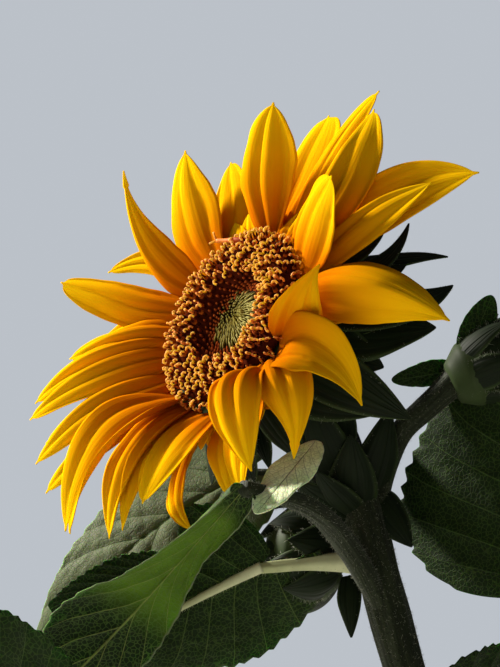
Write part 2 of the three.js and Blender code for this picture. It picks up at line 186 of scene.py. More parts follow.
# A blade's middle surface at t, 0 at its root to 1 at its tip, and a, -1 to 1 across: a straight line
# from the root, bent out of its face by arch, hump and tip and sideways by bow, with a section that is
# an arc of the cup angle and as wide as the outline times the margin's teeth. Lobes set its foot back.
def bladeSurface(shape, t, a, margin):
    s = {**plainBlade, **shape}
    direction = unit(s["direction"])
    side = unit(np.cross(s["face"], direction))
    face = np.cross(direction, side)
    roll = math.radians(s["roll"])
    level = side * math.cos(roll) + face * math.sin(roll)

    def centreLine(t):  # 4 and 9.5 bring a bend's highest place to 1
        rise = s["arch"] * 4 * t * (1 - t) + s["hump"] * 9.5 * t * (1 - t) ** 3 + s["tip"] * t ** 4
        shift = s["bow"] * 4 * t * (1 - t) + s["hook"] * t ** 4
        return s["root"] + s["length"] * (direction * t + face * rise + side * shift)

    t, a = np.broadcast_arrays(t[..., None], a[..., None])
    ahead = unit(centreLine(t + 0.01) - centreLine(t - 0.01))
    across = unit(level - ahead * np.sum(ahead * level, -1, keepdims=True))
    lift = np.cross(ahead, across)
    half = s["width"] / 2 * (s["outline"](np.clip(t, 0, 1)) + s["fork"] * 3 * t ** 8) + s["edge"]
    half = half * margin[..., None]
    cup = s["cup"] + s["curl"] * (1 - t) ** 2 + 1e-3
    back = s["lobes"] * (1 + s["skew"] * a) * s["length"] * a * a * (1 - t) ** 3
    back = back + s["fork"] * s["length"] * np.exp(-((a / 0.4) ** 2)) * np.clip(t, 0, 1) ** 14
    section = across * half * np.sin(cup * a) / cup + lift * half * (1 - np.cos(cup * a)) / cup
    return centreLine(t) + section - ahead * back


# A blade's mesh: its rows and columns, how thick it is in its middle, and what part of that its margin loses.
def lookOf(rows, columns, thick, thin):
    return {"rows": rows, "columns": columns, "thick": thick, "thin": thin}


# A closed thin blade: the middle surface moved out by half its thickness and by its relief, both ways.
def bladePatch(shape, look, relief=None, margin=None):
    rows, columns = look["rows"], look["columns"]
    s = np.linspace(0, 1, rows + 1)[:, None]
    t = mix(s, (1 - np.cos(np.pi * s)) / 2, 0.5)  # the rows crowd a little at both ends
    a = np.linspace(1, -1, columns + 1)[None, :]
    t, a = np.broadcast_arrays(t, a)
    notch = np.ones_like(t) if margin is None else margin(t, a)
    grid = bladeSurface(shape, t, a, notch)
    step = 1e-3
    along = bladeSurface(shape, t + step, a, notch) - bladeSurface(shape, t - step, a, notch)
    across = bladeSurface(shape, t, a + step, notch) - bladeSurface(shape, t, a - step, notch)
    normal = unit(np.cross(along, across))
    raised = 0 if relief is None else relief(t, a)
    for ridge, place in shape.get("creases", ()):
        slope = np.where(a > place, (1 - a) / (1 - place), (1 + a) / (1 + place))
        rounded = slope - 0.12 * np.exp(-((a - place) / 0.12) ** 2)  # takes the sharp edge off
        raised = raised + ridge * (rounded - 0.45) * np.sin(np.pi * t) ** 0.7
    raised = (raised * np.clip(shape["outline"](t) * 1.1, 0, 1) ** 0.8)[..., None]
    thick = look["thick"] / 2 * (1 - look["thin"] * np.maximum(np.abs(a) ** 4, t ** 8))[..., None]
    upper = grid + normal * (raised + thick)
    lower = (grid + normal * (raised - thick))[:, ::-1]
    n = 2 * (columns + 1)
    points = np.concatenate([upper, lower], 1).reshape(-1, 3)
    u = np.concatenate([a, a[:, ::-1]], 1) / 2 + 0.5
    v = np.concatenate([t, t], 1)
    sides = np.concatenate([np.ones_like(t), np.zeros_like(t)], 1)
    j = np.arange(columns)
    foot = np.stack([n - 1 - j, n - 2 - j, j + 1, j], -1)
    top = rows * n + foot[:, ::-1]
    faces = [ringFaces(rows + 1, n), foot, top]
    tone = np.full(len(points), shape.get("tone", 0.5))
    return makePatch(points, faces, flow=np.stack([u, v], -1).reshape(-1, 2), upper=sides.ravel(), tone=tone)


# A blade given by where its root and its tip are, its width and the way its upper side looks.
def spanned(root, tip, width, face, **bends):
    root = np.array(root, float)
    direction = np.array(tip, float) - root
    length, face = float(np.linalg.norm(direction)), np.array(face, float)
    return {"root": root, "direction": direction, "length": length, "width": width, "face": face, **bends}


# A smooth curve through the points, evenly stepped: a centripetal Catmull-Rom, cubic between neighbours.
def smoothPath(route, count):
    p = np.asarray(route, float)
    p = np.concatenate([[2 * p[0] - p[1]], p, [2 * p[-1] - p[-2]]])
    step = np.sqrt(np.linalg.norm(np.diff(p, axis=0), axis=1))[:, None]
    x0, x1, x2, x3 = p[:-3], p[1:-2], p[2:-1], p[3:]
    d0, d1, d2 = step[:-2], step[1:-1], step[2:]
    m1 = ((x1 - x0) / d0 - (x2 - x0) / (d0 + d1) + (x2 - x1) / d1) * d1
    m2 = ((x2 - x1) / d1 - (x3 - x1) / (d1 + d2) + (x3 - x2) / d2) * d1
    w = np.linspace(0, 1, 60, endpoint=False)[None, :, None]
    x1, x2, m1, m2 = (x[:, None] for x in (x1, x2, m1, m2))
    fine = x1 + m1 * w + (-3 * x1 + 3 * x2 - 2 * m1 - m2) * w ** 2 + (2 * x1 - 2 * x2 + m1 + m2) * w ** 3
    fine = np.concatenate([fine.reshape(-1, 3), p[-2:-1]])
    reach = np.concatenate([[0], np.cumsum(np.linalg.norm(np.diff(fine, axis=0), axis=1))])
    wanted = np.linspace(0, reach[-1], count)
    return np.stack([np.interp(wanted, reach, fine[:, k]) for k in range(3)], -1), reach[-1]


# A limb's surface at s, 0 to 1 along its path, and a turn angle: the radius, which runs through the given
# values, plus its relief, round the path.
def limbPatch(route, radii, rings, sides, relief=None, flatFoot=False):
    path, reach = smoothPath(route, rings)
    s = np.linspace(0, 1, rings)
    ahead = unit(np.gradient(path, axis=0))
    axis = np.eye(3)[np.argmin(np.abs(unit(path[-1] - path[0])))]
    spoke = unit(np.cross(ahead, axis))
    other = np.cross(ahead, spoke)
    turn = turns(sides)
    radius = np.interp(s, np.linspace(0, 1, len(radii)), radii)[:, None]
    grow = 0 if relief is None else relief(s[:, None] * reach, turn[None, :], reach)
    grid = path[:, None] + spokes(spoke, other, sides) * (radius + grow)[..., None]
    if flatFoot:
        grid[0, :, 2] = 0
    u, v = np.broadcast_arrays(np.abs((turn / np.pi) - 1)[None, :], s[:, None])
    flow = np.concatenate([np.stack([u, v * reach / 100], -1).reshape(-1, 2), [[0.5, 0], [0.5, reach / 100]]])
    tone = np.concatenate([np.repeat(s, sides), [0, 1]])
    return closedRings(grid, path[[0, -1]], flow=flow, tone=tone)


# Hairs are thin three-sided spikes that stand on a patch's faces, leaning a little at random. Each kind has
# how many stand on a square millimetre and how long they are.
hairs = {
    "lean": 0.45, "width": 0.09,
    "stem": (0.22, 1.7), "limb": (0.25, 1.6), "rib": (0.5, 1.5), "margin": (0.25, 1.3), "bud": (1.1, 2.6),
}


def hairPatch(patch, kind, seed, keep=None):
    rng = np.random.default_rng(seed)
    perArea, length = hairs[kind]
    quads = np.concatenate([f for f in patch["faces"] if f.shape[1] == 4])
    p = patch["points"]
    one, two = p[quads[:, 2]] - p[quads[:, 0]], p[quads[:, 3]] - p[quads[:, 1]]
    normals = np.cross(one, two) / 2
    areas = np.linalg.norm(normals, axis=1)
    count = int(areas.sum() * perArea)
    pick = rng.choice(len(quads), count, p=areas / areas.sum())
    u, v = rng.random((2, count, 1))
    q = p[quads[pick]]
    foot = mix(mix(q[:, 0], q[:, 1], u), mix(q[:, 3], q[:, 2], u), v)
    out = unit(normals[pick])
    if keep is not None:
        kept = keep(foot, out, patch["flow"][quads[pick, 0]])
        foot, out = foot[kept], out[kept]
        count = len(foot)
    heading = unit(out + rng.normal(0, hairs["lean"], (count, 3)))
    reach = length * (0.5 + 0.8 * rng.random((count, 1)))
    return spikePatch(foot - out * 0.1, heading, reach, hairs["width"])


# Three-sided spikes with closed feet, from their feet along their headings.
def spikePatch(foot, heading, reach, width):
    count = len(foot)
    side = unit(np.cross(heading, up + 0.01))
    other = np.cross(heading, side)
    ring = foot[:, None] + width * spokes(side, other, 3)
    points = np.concatenate([ring, (foot + heading * reach)[:, None]], 1).reshape(-1, 3)
    faces = np.array([[0, 1, 3], [1, 2, 3], [2, 0, 3], [0, 2, 1]])
    faces = (faces[None] + 4 * np.arange(count)[:, None, None]).reshape(-1, 3)
    return makePatch(points, [faces], tone=np.tile([0, 0, 0, 1.0], count))


# Adds a node, sets what it is given and links the sockets among its inputs.
def addNode(tree, kind, inputs=None, **settings):
    node = tree.nodes.new("ShaderNode" + kind)
    for key, value in settings.items():
        setattr(node, key, value)
    for key, value in (inputs or {}).items():
        if isinstance(value, bpy.types.NodeSocket):
            tree.links.new(value, node.inputs[key])
        else:
            node.inputs[key].default_value = value
    return node


def calc(tree, operation, *values):
    return addNode(tree, "Math", dict(enumerate(values)), operation=operation).outputs[0]


# From low..high to 0..1, smoothly, or to other values.
def ranged(tree, value, low, high, start=0.0, end=1.0):
    inputs = {"Value": value, "From Min": low, "From Max": high, "To Min": start, "To Max": end}
    return addNode(tree, "MapRange", inputs, interpolation_type="SMOOTHSTEP").outputs["Result"]


def blendColors(tree, part, one, two, blend="MIX"):
    one, two = ((*color, 1) if isinstance(color, tuple) else color for color in (one, two))
    return addNode(tree, "Mix", {0: part, 6: one, 7: two}, data_type="RGBA", blend_type=blend).outputs[2]


def colorRamp(tree, value, stops):
    node = addNode(tree, "ValToRGB", {"Fac": value})
    elements = node.color_ramp.elements
    while len(elements) < len(stops):
        elements.new(0.5)
    for element, (place, color) in zip(elements, stops):
        element.position = place
        element.color = (*color, 1)
    return node.outputs["Color"]


def newGroup(name, inputs, outputs):
    tree = bpy.data.node_groups.new(name, "ShaderNodeTree")
    for socket, value in inputs.items():
        item = tree.interface.new_socket(socket, in_out="INPUT", socket_type="NodeSocketFloat")
        item.default_value = value
    for socket in outputs:
        tree.interface.new_socket(socket, in_out="OUTPUT", socket_type="NodeSocketFloat")
    return tree, tree.nodes.new("NodeGroupInput").outputs, tree.nodes.new("NodeGroupOutput").inputs


def useGroup(tree, group, **values):
    return addNode(tree, "Group", values, node_tree=group).outputs


# A piece's UV map: 0 to 1 across it, and along it.
def flowOf(tree):
    return addNode(tree, "SeparateXYZ", {0: addNode(tree, "UVMap", uv_map="flow").outputs[0]}).outputs


def objectPlace(tree):
    return addNode(tree, "TexCoord").outputs["Object"]


# What a piece's mesh holds at each point under a name.
def pointValue(tree, name):
    return addNode(tree, "Attribute", attribute_name=name).outputs["Fac"]


# Effects that several finishes share. Uneven tone: noise on object coordinates, as a factor about 1.
def buildMottle():
    tree, given, made = newGroup("mottle", {"Scale": 60.0, "Depth": 0.2}, ["Factor"])
    noise = addNode(tree, "TexNoise", {"Vector": objectPlace(tree), "Scale": given["Scale"], "Detail": 4.0})
    swing = calc(tree, "MULTIPLY", calc(tree, "SUBTRACT", noise.outputs["Fac"], 0.5), given["Depth"])
    tree.links.new(calc(tree, "MULTIPLY_ADD", swing, 2.0, 1.0), made["Factor"])
    return tree


# Lines along a blade: noise that is squeezed across it and drawn out along it.
def buildStreaks():
    tree, given, made = newGroup("streaks", {"Count": 14.0, "Length": 1.5}, ["Line", "Fine"])
    flow = flowOf(tree)
    for output, finer in (("Line", 1.0), ("Fine", 3.1)):
        x = calc(tree, "MULTIPLY", calc(tree, "MULTIPLY", flow[0], given["Count"]), finer)
        y = calc(tree, "MULTIPLY", flow[1], given["Length"])
        place = addNode(tree, "CombineXYZ", {0: x, 1: y, 2: finer})
        noise = addNode(tree, "TexNoise", {"Vector": place.outputs[0], "Scale": 1.0, "Detail": 1.5})
        tree.links.new(ranged(tree, noise.outputs["Fac"], 0.3, 0.7), made[output])
    return tree


# A leaf's midrib and side veins from its UV map: the side veins leave the midrib at even steps and sweep
# forward to the margin, those on one side half a step further on. Net is the fine mesh between them.
def buildVeins():
    inputs = {"Pairs": 7.0, "Sweep": 0.3, "Width": 0.034, "Cell": 430.0}
    tree, given, made = newGroup("veins", inputs, ["Main", "Net"])
    flow = flowOf(tree)
    a = calc(tree, "MULTIPLY_ADD", flow[0], 2.0, -1.0)
    out = calc(tree, "ABSOLUTE", a)
    swept = calc(tree, "MULTIPLY", calc(tree, "POWER", out, 0.9), given["Sweep"])
    step = calc(tree, "MULTIPLY", calc(tree, "SUBTRACT", flow[1], swept), given["Pairs"])
    step = calc(tree, "ADD", step, calc(tree, "MULTIPLY", calc(tree, "GREATER_THAN", a, 0.0), 0.5))
    away = calc(tree, "ABSOLUTE", calc(tree, "SUBTRACT", calc(tree, "FRACT", step), 0.5))
    reach = calc(tree, "MULTIPLY", given["Width"], calc(tree, "MULTIPLY_ADD", out, -0.6, 1.0))
    side = calc(tree, "LESS_THAN", calc(tree, "SUBTRACT", 0.5, away), reach)
    soft = calc(tree, "SUBTRACT", 1.0, calc(tree, "DIVIDE", calc(tree, "SUBTRACT", 0.5, away), reach))
    side = calc(tree, "MULTIPLY", side, calc(tree, "MINIMUM", calc(tree, "MULTIPLY", soft, 2.0), 1.0))
    middle = ranged(tree, out, 0.035, 0.012)
    tree.links.new(calc(tree, "MAXIMUM", side, middle), made["Main"])
    cells = {"Vector": objectPlace(tree), "Scale": given["Cell"]}
    cells = addNode(tree, "TexVoronoi", cells, feature="DISTANCE_TO_EDGE")
    tree.links.new(ranged(tree, cells.outputs["Distance"], 0.12, 0.02), made["Net"])
    return tree


# How near a blade's margin a point is, from the start value to the very edge.
def buildMargin():
    tree, given, made = newGroup("margin", {"Start": 0.8}, ["Mask"])
    flow = flowOf(tree)
    out = calc(tree, "ABSOLUTE", calc(tree, "MULTIPLY_ADD", flow[0], 2.0, -1.0))
    tree.links.new(ranged(tree, out, given["Start"], 1.0), made["Mask"])
    return tree


mottle, streaks, veins, margins = buildMottle(), buildStreaks(), buildVeins(), buildMargin()
print("shared effects ready")


# The shader's sockets that a finish may set; each is the same all over its surface.
socketNames = {
    "roughness": "Roughness", "specular": "Specular IOR Level", "subsurface": "Subsurface Weight",
    "radius": "Subsurface Radius", "depth": "Subsurface Scale", "sheen": "Sheen Weight",
    "sheenRoughness": "Sheen Roughness", "sheenTint": "Sheen Tint",
}


def newMaterial(name, finish):
    material = bpy.data.materials.new(name)
    material.use_nodes = True
    shader = material.node_tree.nodes["Principled BSDF"]
    for key, socket in socketNames.items():
        if key in finish:
            shader.inputs[socket].default_value = finish[key]
    return material, material.node_tree, shader


# Puts a colour on the shader, made uneven by the finish's mottle, and gives that unevenness back.
def paint(tree, shader, finish, color):
    scale, depth = finish["mottle"]
    uneven = useGroup(tree, mottle, Scale=scale, Depth=depth)["Factor"]
    tree.links.new(blendColors(tree, 1.0, color, uneven, "MULTIPLY"), shader.inputs["Base Color"])
    return uneven


# Raises the surface by a height, over the finish's distance in metres and with its strength.
def emboss(tree, shader, finish, height):
    distance, strength = finish["bump"]
    bump = addNode(tree, "Bump", {"Height": height, "Distance": distance, "Strength": strength})
    tree.links.new(bump.outputs[0], shader.inputs["Normal"])


petalFinish = {
    "root": (0.34, 0.05, 0.001), "low": (0.56, 0.15, 0.001), "middle": (0.78, 0.37, 0.002),
    "tip": (0.84, 0.50, 0.003), "streak": (0.52, 0.20, 0.001), "streaks": {"Count": 9.0, "Length": 1.2},
    "mottle": (45.0, 0.12), "bump": (0.0003, 0.4), "roughness": 0.6, "specular": 0.0,
    "subsurface": 0.22, "radius": (1.0, 0.36, 0.02), "depth": 0.0016,
}


def petalMaterial():
    f = petalFinish
    material, tree, shader = newMaterial("petal", f)
    flow = flowOf(tree)
    # Deeper orange towards the root: partly the petals' own colour, partly painted shade on their lower halves.
    color = colorRamp(tree, flow[1], [(0, f["root"]), (0.26, f["low"]), (0.62, f["middle"]), (1, f["tip"])])
    lines = useGroup(tree, streaks, **f["streaks"])
    color = blendColors(tree, calc(tree, "MULTIPLY", lines["Line"], 0.2), color, f["streak"])
    paint(tree, shader, f, color)
    emboss(tree, shader, f, calc(tree, "ADD", lines["Line"], calc(tree, "MULTIPLY", lines["Fine"], 0.5)))
    return material


sheen = {"sheen": 0.03, "sheenRoughness": 0.5, "sheenTint": (0.8, 0.9, 0.8, 1)}
leafFinish = {
    "upper": (0.026, 0.050, 0.012), "under": (0.007, 0.016, 0.003), "vein": (0.045, 0.08, 0.018),
    "net": (0.065, 0.12, 0.022), "paintedGlow": (0.062, 0.125, 0.006), "pale": (0.095, 0.115, 0.055),
    "paintedSheen": (0.78, 0.86, 0.55), "rib": (0.17, 0.21, 0.05), "mottle": (70.0, 0.45), "bump": (0.0006, 0.7),
    "roughness": 0.6, "specular": 0.06, "subsurface": 0.35, "radius": (0.3, 1.0, 0.05), "depth": 0.002, **sheen,
}


# A blade's tone chooses its look: painted sheen under 0, a pale painted sheen to 0.45, plain at 0.5, ribbed above,
# and a painted glow of light through it above 0.72.
def leafMaterial():
    f = leafFinish
    material, tree, shader = newMaterial("leaf", f)
    upper, tone = pointValue(tree, "upper"), pointValue(tree, "tone")
    # The underside's darker green is painted shade.
    color = blendColors(tree, upper, f["under"], f["upper"])
    # Pale grey-green for tones to 0.45: a painted sheen of grazing light on the upper side.
    color = blendColors(tree, ranged(tree, tone, 0.45, 0.1), color, f["pale"])
    # Near-white for tones under 0: painted light and sheen on a blade that lies in shade.
    color = blendColors(tree, ranged(tree, tone, 0, -0.5), color, f["paintedSheen"])
    along = flowOf(tree)[1]
    # Above tone 0.72, a bright green band from about a tenth to three fifths of the length: a painted glow of light
    # through the blade.
    near = calc(tree, "MULTIPLY", ranged(tree, along, 0.66, 0.5), ranged(tree, along, 0.06, 0.16))
    color = blendColors(tree, calc(tree, "MULTIPLY", ranged(tree, tone, 0.72, 0.95), near), color, f["paintedGlow"])
    lines, ribbed = useGroup(tree, veins), ranged(tree, tone, 0.5, 0.7)
    net = calc(tree, "MULTIPLY", lines["Net"], calc(tree, "MULTIPLY_ADD", ribbed, 0.35, 0.25))
    color = blendColors(tree, net, color, f["net"])
    rib = blendColors(tree, ribbed, f["vein"], f["rib"])
    color = blendColors(tree, calc(tree, "MULTIPLY", lines["Main"], 0.75), color, rib)
    # A pale rim along the margins of ribbed blades: painted light on their edges.
    edge = calc(tree, "MULTIPLY", useGroup(tree, margins, Start=0.95)["Mask"], ribbed)
    paint(tree, shader, f, blendColors(tree, edge, color, f["pale"]))
    height = calc(tree, "ADD", lines["Main"], calc(tree, "MULTIPLY", lines["Net"], 0.4))
    sign = calc(tree, "MULTIPLY_ADD", upper, -2.0, 1.0)  # the veins stand out below and sink above
    emboss(tree, shader, f, calc(tree, "MULTIPLY", height, sign))
    return material


bractFinish = {
    "body": (0.005, 0.010, 0.003), "edge": (0.03, 0.048, 0.014), "line": (0.012, 0.021, 0.006),
    "streaks": {"Count": 9.0, "Length": 1.0}, "mottle": (90.0, 0.3), "bump": (0.0005, 0.6),
    "roughness": 0.55, "specular": 0.1, "subsurface": 0.12, "radius": (0.35, 1.0, 0.1), "depth": 0.001, **sheen,
}


def bractMaterial():
    f = bractFinish
    material, tree, shader = newMaterial("bract", f)
    line = useGroup(tree, streaks, **f["streaks"])["Line"]
    color = blendColors(tree, calc(tree, "MULTIPLY", line, 0.4), f["body"], f["line"])
    paint(tree, shader, f, blendColors(tree, useGroup(tree, margins, Start=0.75)["Mask"], color, f["edge"]))
    emboss(tree, shader, f, line)
    return material


stemFinish = {
    "body": (0.011, 0.015, 0.006), "pale": (0.025, 0.033, 0.014), "dark": (0.005, 0.007, 0.003),
    "streaks": {"Count": 16.0, "Length": 2.5}, "mottle": (50.0, 0.25), "bump": (0.0005, 0.6),
    "roughness": 0.6, "specular": 0.12, "subsurface": 0.1, "radius": (0.4, 1.0, 0.2), "depth": 0.001,
    "sheen": 0.08, "sheenRoughness": 0.5, "sheenTint": (0.9, 0.95, 0.85, 1),
}


def stemMaterial():
    f = stemFinish
    material, tree, shader = newMaterial("stem", f)
    line = useGroup(tree, streaks, **f["streaks"])["Line"]
    color = blendColors(tree, line, f["body"], f["pale"])
    spots = {"Vector": objectPlace(tree), "Scale": 1100.0, "Detail": 2.0}
    spots = addNode(tree, "TexNoise", spots).outputs["Fac"]
    paint(tree, shader, f, blendColors(tree, ranged(tree, spots, 0.52, 0.7), color, f["dark"]))
    emboss(tree, shader, f, calc(tree, "ADD", line, spots))
    return material


# Finishes that run through colours from a piece's foot, tone 0, to its tip, tone 1.
toneShared = {"mottle": (200.0, 0.2), "bump": (0.0003, 0.5), "roughness": 0.6, "specular": 0.0}
toneFinishes = {
    "hair": {"stops": [(0, (0.20, 0.22, 0.14)), (1, (0.46, 0.46, 0.37))], "roughness": 0.5, "specular": 0.5},
    "pale_rib": {"stops": [(0, (0.46, 0.48, 0.30)), (1, (0.34, 0.37, 0.18))], "roughness": 0.7, "specular": 0.1},
    "floret_bed": {"stops": [(0, (0.05, 0.008, 0.003)), (1, (0.11, 0.02, 0.005))], "roughness": 0.8},
    "floret_tube": {"stops": [(0, (0.03, 0.006, 0.003)), (0.6, (0.10, 0.018, 0.004)), (1, (0.42, 0.10, 0.010))]},
    "floret_style": {
        "stops": [(0, (0.20, 0.018, 0.002)), (0.4, (0.46, 0.07, 0.005)), (1, (0.82, 0.24, 0.030))],
        "specular": 0.1, "subsurface": 0.2, "radius": (1.0, 0.5, 0.1), "mottle": (200.0, 0.0006),  # next to even
    },
    "floret_closed": {
        "stops": [(0, (0.03, 0.006, 0.003)), (0.6, (0.12, 0.02, 0.006)), (1, (0.46, 0.10, 0.02))], "roughness": 0.5,
    },
    "floret_centre": {
        "stops": [
            (0, (0.012, 0.005, 0.002)), (0.45, (0.05, 0.03, 0.004)), (0.8, (0.24, 0.20, 0.03)),
            (1, (0.62, 0.56, 0.16)),
        ],
        "specular": 0.1,
    },
}


def toneMaterial(name):
    f = {**toneShared, **toneFinishes[name]}
    material, tree, shader = newMaterial(name, f)
    uneven = paint(tree, shader, f, colorRamp(tree, pointValue(tree, "tone"), f["stops"]))
    emboss(tree, shader, f, uneven)
    return material


petalSkin, leafSkin, bractSkin, stemSkin = petalMaterial(), leafMaterial(), bractMaterial(), stemMaterial()
hairSkin, paleSkin, bedSkin, openSkin, styleSkin, closedSkin, chaffSkin = map(toneMaterial, toneFinishes)
print("finishes ready")


# The head's axes: out of its face, towards its 12 o'clock and towards its 3 o'clock
head = {"centre": (-104, -46, 364), "azimuth": -139, "tilt": 10.5}
headCentre = np.array(head["centre"], float)
tilt, azimuth = math.radians(head["tilt"]), math.radians(head["azimuth"])
facing = np.array([
    math.cos(tilt) * math.cos(azimuth), math.cos(tilt) * math.sin(azimuth), math.sin(tilt),
])
noon = unit(up - facing * facing[2])
three = np.cross(noon, facing)


# Outward and clockwise directions at clock angles in degrees.
def clock(angle):
    turn = np.asarray(np.radians(angle))[..., None]
    return noon * np.cos(turn) + three * np.sin(turn), three * np.cos(turn) - noon * np.sin(turn)


# A direction that leaves the head's plane by the lift and turns clockwise by the veer.
def aimed(angle, lift, veer):
    outward, onward = clock(angle)
    lift, veer = math.radians(lift), math.radians(veer)
    return (outward * math.cos(veer) + onward * math.sin(veer)) * math.cos(lift) + facing * math.sin(lift)


# A ray of the head, a petal or a bract: its root's clock angle, length, width, lift out of the head's plane and
# clockwise veer, then its own bends.
def rayOf(at, length, width, lift, veer, **bends):
    return {"at": at, "length": length, "width": width, "lift": lift, "veer": veer, **bends}


# Where the petals' roots stand, and how far those round the left side run in to be nearer the middle.
petalRoot = {"radius": 48.7, "nearer": 5.5, "side": 275, "depth": 1, "backStep": 3}
petalLook = lookOf(64, 28, 0.75, 0.5)
petalRelief = {"fold": 1.05, "folds": 1.3, "vein": 0.09, "veins": 4.5, "wave": 1.5, "edge": 0.03}

# The row in front, the row behind it, and the second blade of the petal whose tip is forked. The outline's
# swell and blunt, and pleat, the part of the usual folds, stand among a petal's bends.
frontPetals = [
    rayOf(314, 78, 21, 40, 26, bow=0.13, tip=-0.04, swell=0.6, blunt=1.3, creases=[(5, 0.4)]),
    rayOf(295, 80, 22, 30, -5, bow=0.03, swell=0.9, blunt=0.42, creases=[(5, -0.4)]),
    rayOf(332, 72, 35, 20, 17, bow=0.1, swell=1.1, blunt=0.7, creases=[(5, 0.2)]),
    rayOf(23, 69, 35, 22, -6, bow=0.06, roll=18, swell=1.3, blunt=0.66, pleat=1.7,
        creases=[(5, 0.1), (-2, -0.5)]),
    rayOf(57, 84, 30, -4, -30, bow=-0.07, swell=1.1, blunt=0.5, creases=[(14, 0.4)]),
    rayOf(76, 52, 37, 20, -31, bow=0.06, swell=1.0, blunt=0.5, creases=[(5, 0.2)]),
    rayOf(79, 99, 28, -19, -19, bow=0.19, roll=30, swell=1.25, creases=[(-4, 0.45), (3, -0.1)]),
    rayOf(88, 84, 29, -19, 22, arch=0.1, bow=0.07, creases=[(17, 0.12)]),
    rayOf(119, 43, 23, 30, -65, swell=0.8, bow=-0.16, roll=-112, tip=-0.22, blunt=1.0, creases=[(3, 0.2)]),
    rayOf(129, 53, 27, -22, -20, arch=0.2, hump=0.1, bow=0.12, hook=-0.25, creases=[(-9, 0.1)]),
    rayOf(129, 54, 24, -10, 38, arch=0.12, hump=0.1, bow=0.22, roll=-30, blunt=1.2, pleat=1.5,
        creases=[(4, 0.1)]),
    rayOf(138, 56, 27, 5, 36, arch=0.2, hump=0.16, roll=-20, pleat=1.7, creases=[(3, 0.4), (2, -0.4)]),
    rayOf(186, 59, 31, 22, 8, arch=0.12, swell=1.0, blunt=0.55, creases=[(5, -0.5)]),
    rayOf(202, 69, 21, 14, -4, arch=0.14, creases=[(-7, 0.4)]),
    rayOf(213, 75, 22, 12, -14, arch=0.18, blunt=0.6, creases=[(-6, 0.4)]),
    rayOf(224, 86, 30, 20, -20, arch=0.24, blunt=0.6, fork=0.06, creases=[(-9, 0.45)]),
    rayOf(247, 82, 22, 24, -14, arch=0.12, blunt=0.6, creases=[(7, -0.5)]),
    rayOf(266, 81, 22, 30, -26, arch=0.1, blunt=0.5, hook=0.03, creases=[(6, -0.5)]),
    rayOf(282, 62, 20, 28, -24, arch=0.08, blunt=0.6, creases=[(5, -0.4)]),
]
backPetals = [
    rayOf(322, 72, 16, 18, -28, bow=-0.06, blunt=0.5, hook=0.14),
    rayOf(344, 63, 30, 5, 7, blunt=0.5),
    rayOf(20, 82, 36, -9, -9, swell=1.4, blunt=0.3, creases=[(6, 0.3), (-4, -0.3)]),
    rayOf(44, 90, 24, -2, -16, bow=0.08, blunt=0.5, hook=-0.06, creases=[(4, 0.0)]),
    rayOf(100, 56, 18, -36, -16, arch=0.12),
    rayOf(152, 56, 22, 2, 24, arch=0.1),
    rayOf(170, 50, 20, -6, 4, arch=0.15),
    rayOf(194, 66, 13, 6, -24, bow=-0.28),
    rayOf(236, 83, 24, 26, -16, arch=0.1, blunt=0.5, creases=[(6, -0.4)]),
    rayOf(257, 78, 20, 24, -20, arch=0.08, blunt=0.5, creases=[(6, -0.4)]),
    rayOf(276, 83, 20, 28, -28, arch=0.12, blunt=0.5, hook=0.06, creases=[(6, -0.4)]),
    rayOf(290, 60, 18, 14, -20, arch=0.1),
]
splitPetal = rayOf(
    82, 79, 23, -15, -28, node="petal_07", bow=0.03, arch=0.05, swell=1.1, blunt=0.6, creases=[(7, 0.5)])

# Short petals all round under the others; each lifts by a part of what the long ones near it do, and a drop.
shortPetals = {
    "count": 30, "length": 21, "width": 16, "veer": -6, "part": 0.8, "drop": 12, "radius": 46.5, "depth": 2.2,
    "outline": (0.7, 0.7), "look": lookOf(24, 12, 0.7, 0.7),
}

# A ray that is still a tube and opens in two tines, whose spread across it is given.
forkedRay = {
    "at": 16, "length": 22, "lift": 12, "veer": -90, "radius": 43, "height": 7, "radii": (1.5, 1.8, 1.4, 1.1),
    "tines": (4, -2.4), "tineRadii": (0.9, 0.7, 0.5),
}


# Where a ray of the head stands and how it heads off.
def onHead(ray, radius, depth):
    outward, _ = clock(ray["at"])
    direction = aimed(ray["at"], ray["lift"], ray["veer"])
    return {**ray, "root": headCentre + outward * radius - facing * depth, "direction": direction, "face": facing}


# The same for a petal. Those of the left side run on inwards under the florets, and their tips stay.
def onRim(ray, radius, depth):
    outward, _ = clock(ray["at"])
    inward = petalRoot["nearer"] * max(math.cos(math.radians(ray["at"] - petalRoot["side"])), 0) ** 0.6
    shape = onHead(ray, radius - inward, depth)
    reach = shape["direction"] * ray["length"] + outward * inward
    return {**shape, "direction": reach, "length": float(np.linalg.norm(reach))}


# Lengthwise folds that fade at both ends, fine veins, and margins that wave up and down.
def petalFolds(seed, part=1.0):
    r = petalRelief

    def relief(t, a):
        phase = np.random.default_rng(seed).random(3)
        body = np.sin(np.pi * np.clip(t, 0, 1) ** 0.7) ** 0.6
        sway = 0.12 * ripple(t, t * 0, seed + 1, 0.9)
        pleat = np.abs(np.cos(np.pi * (r["folds"] * (a + sway) + phase[0] * 0.6)))
        fold = part * r["fold"] * 2 * (pleat ** 0.8 - 0.6)
        vein = r["vein"] * np.cos(2 * np.pi * (r["veins"] * (a + sway * 0.5) + phase[1]))
        wave = r["wave"] * np.abs(a) ** 3 * ripple(t, np.sign(a) * 0.5, seed + 2, 0.8)
        return (fold + vein) * body + wave * np.sin(np.pi * t) ** 0.5

    return relief


def petalMargin(seed):
    def margin(t, a):
        return 1 + petalRelief["edge"] * ripple(t, np.sign(a), seed + 5, 0.25) * np.abs(a) ** 4

    return margin


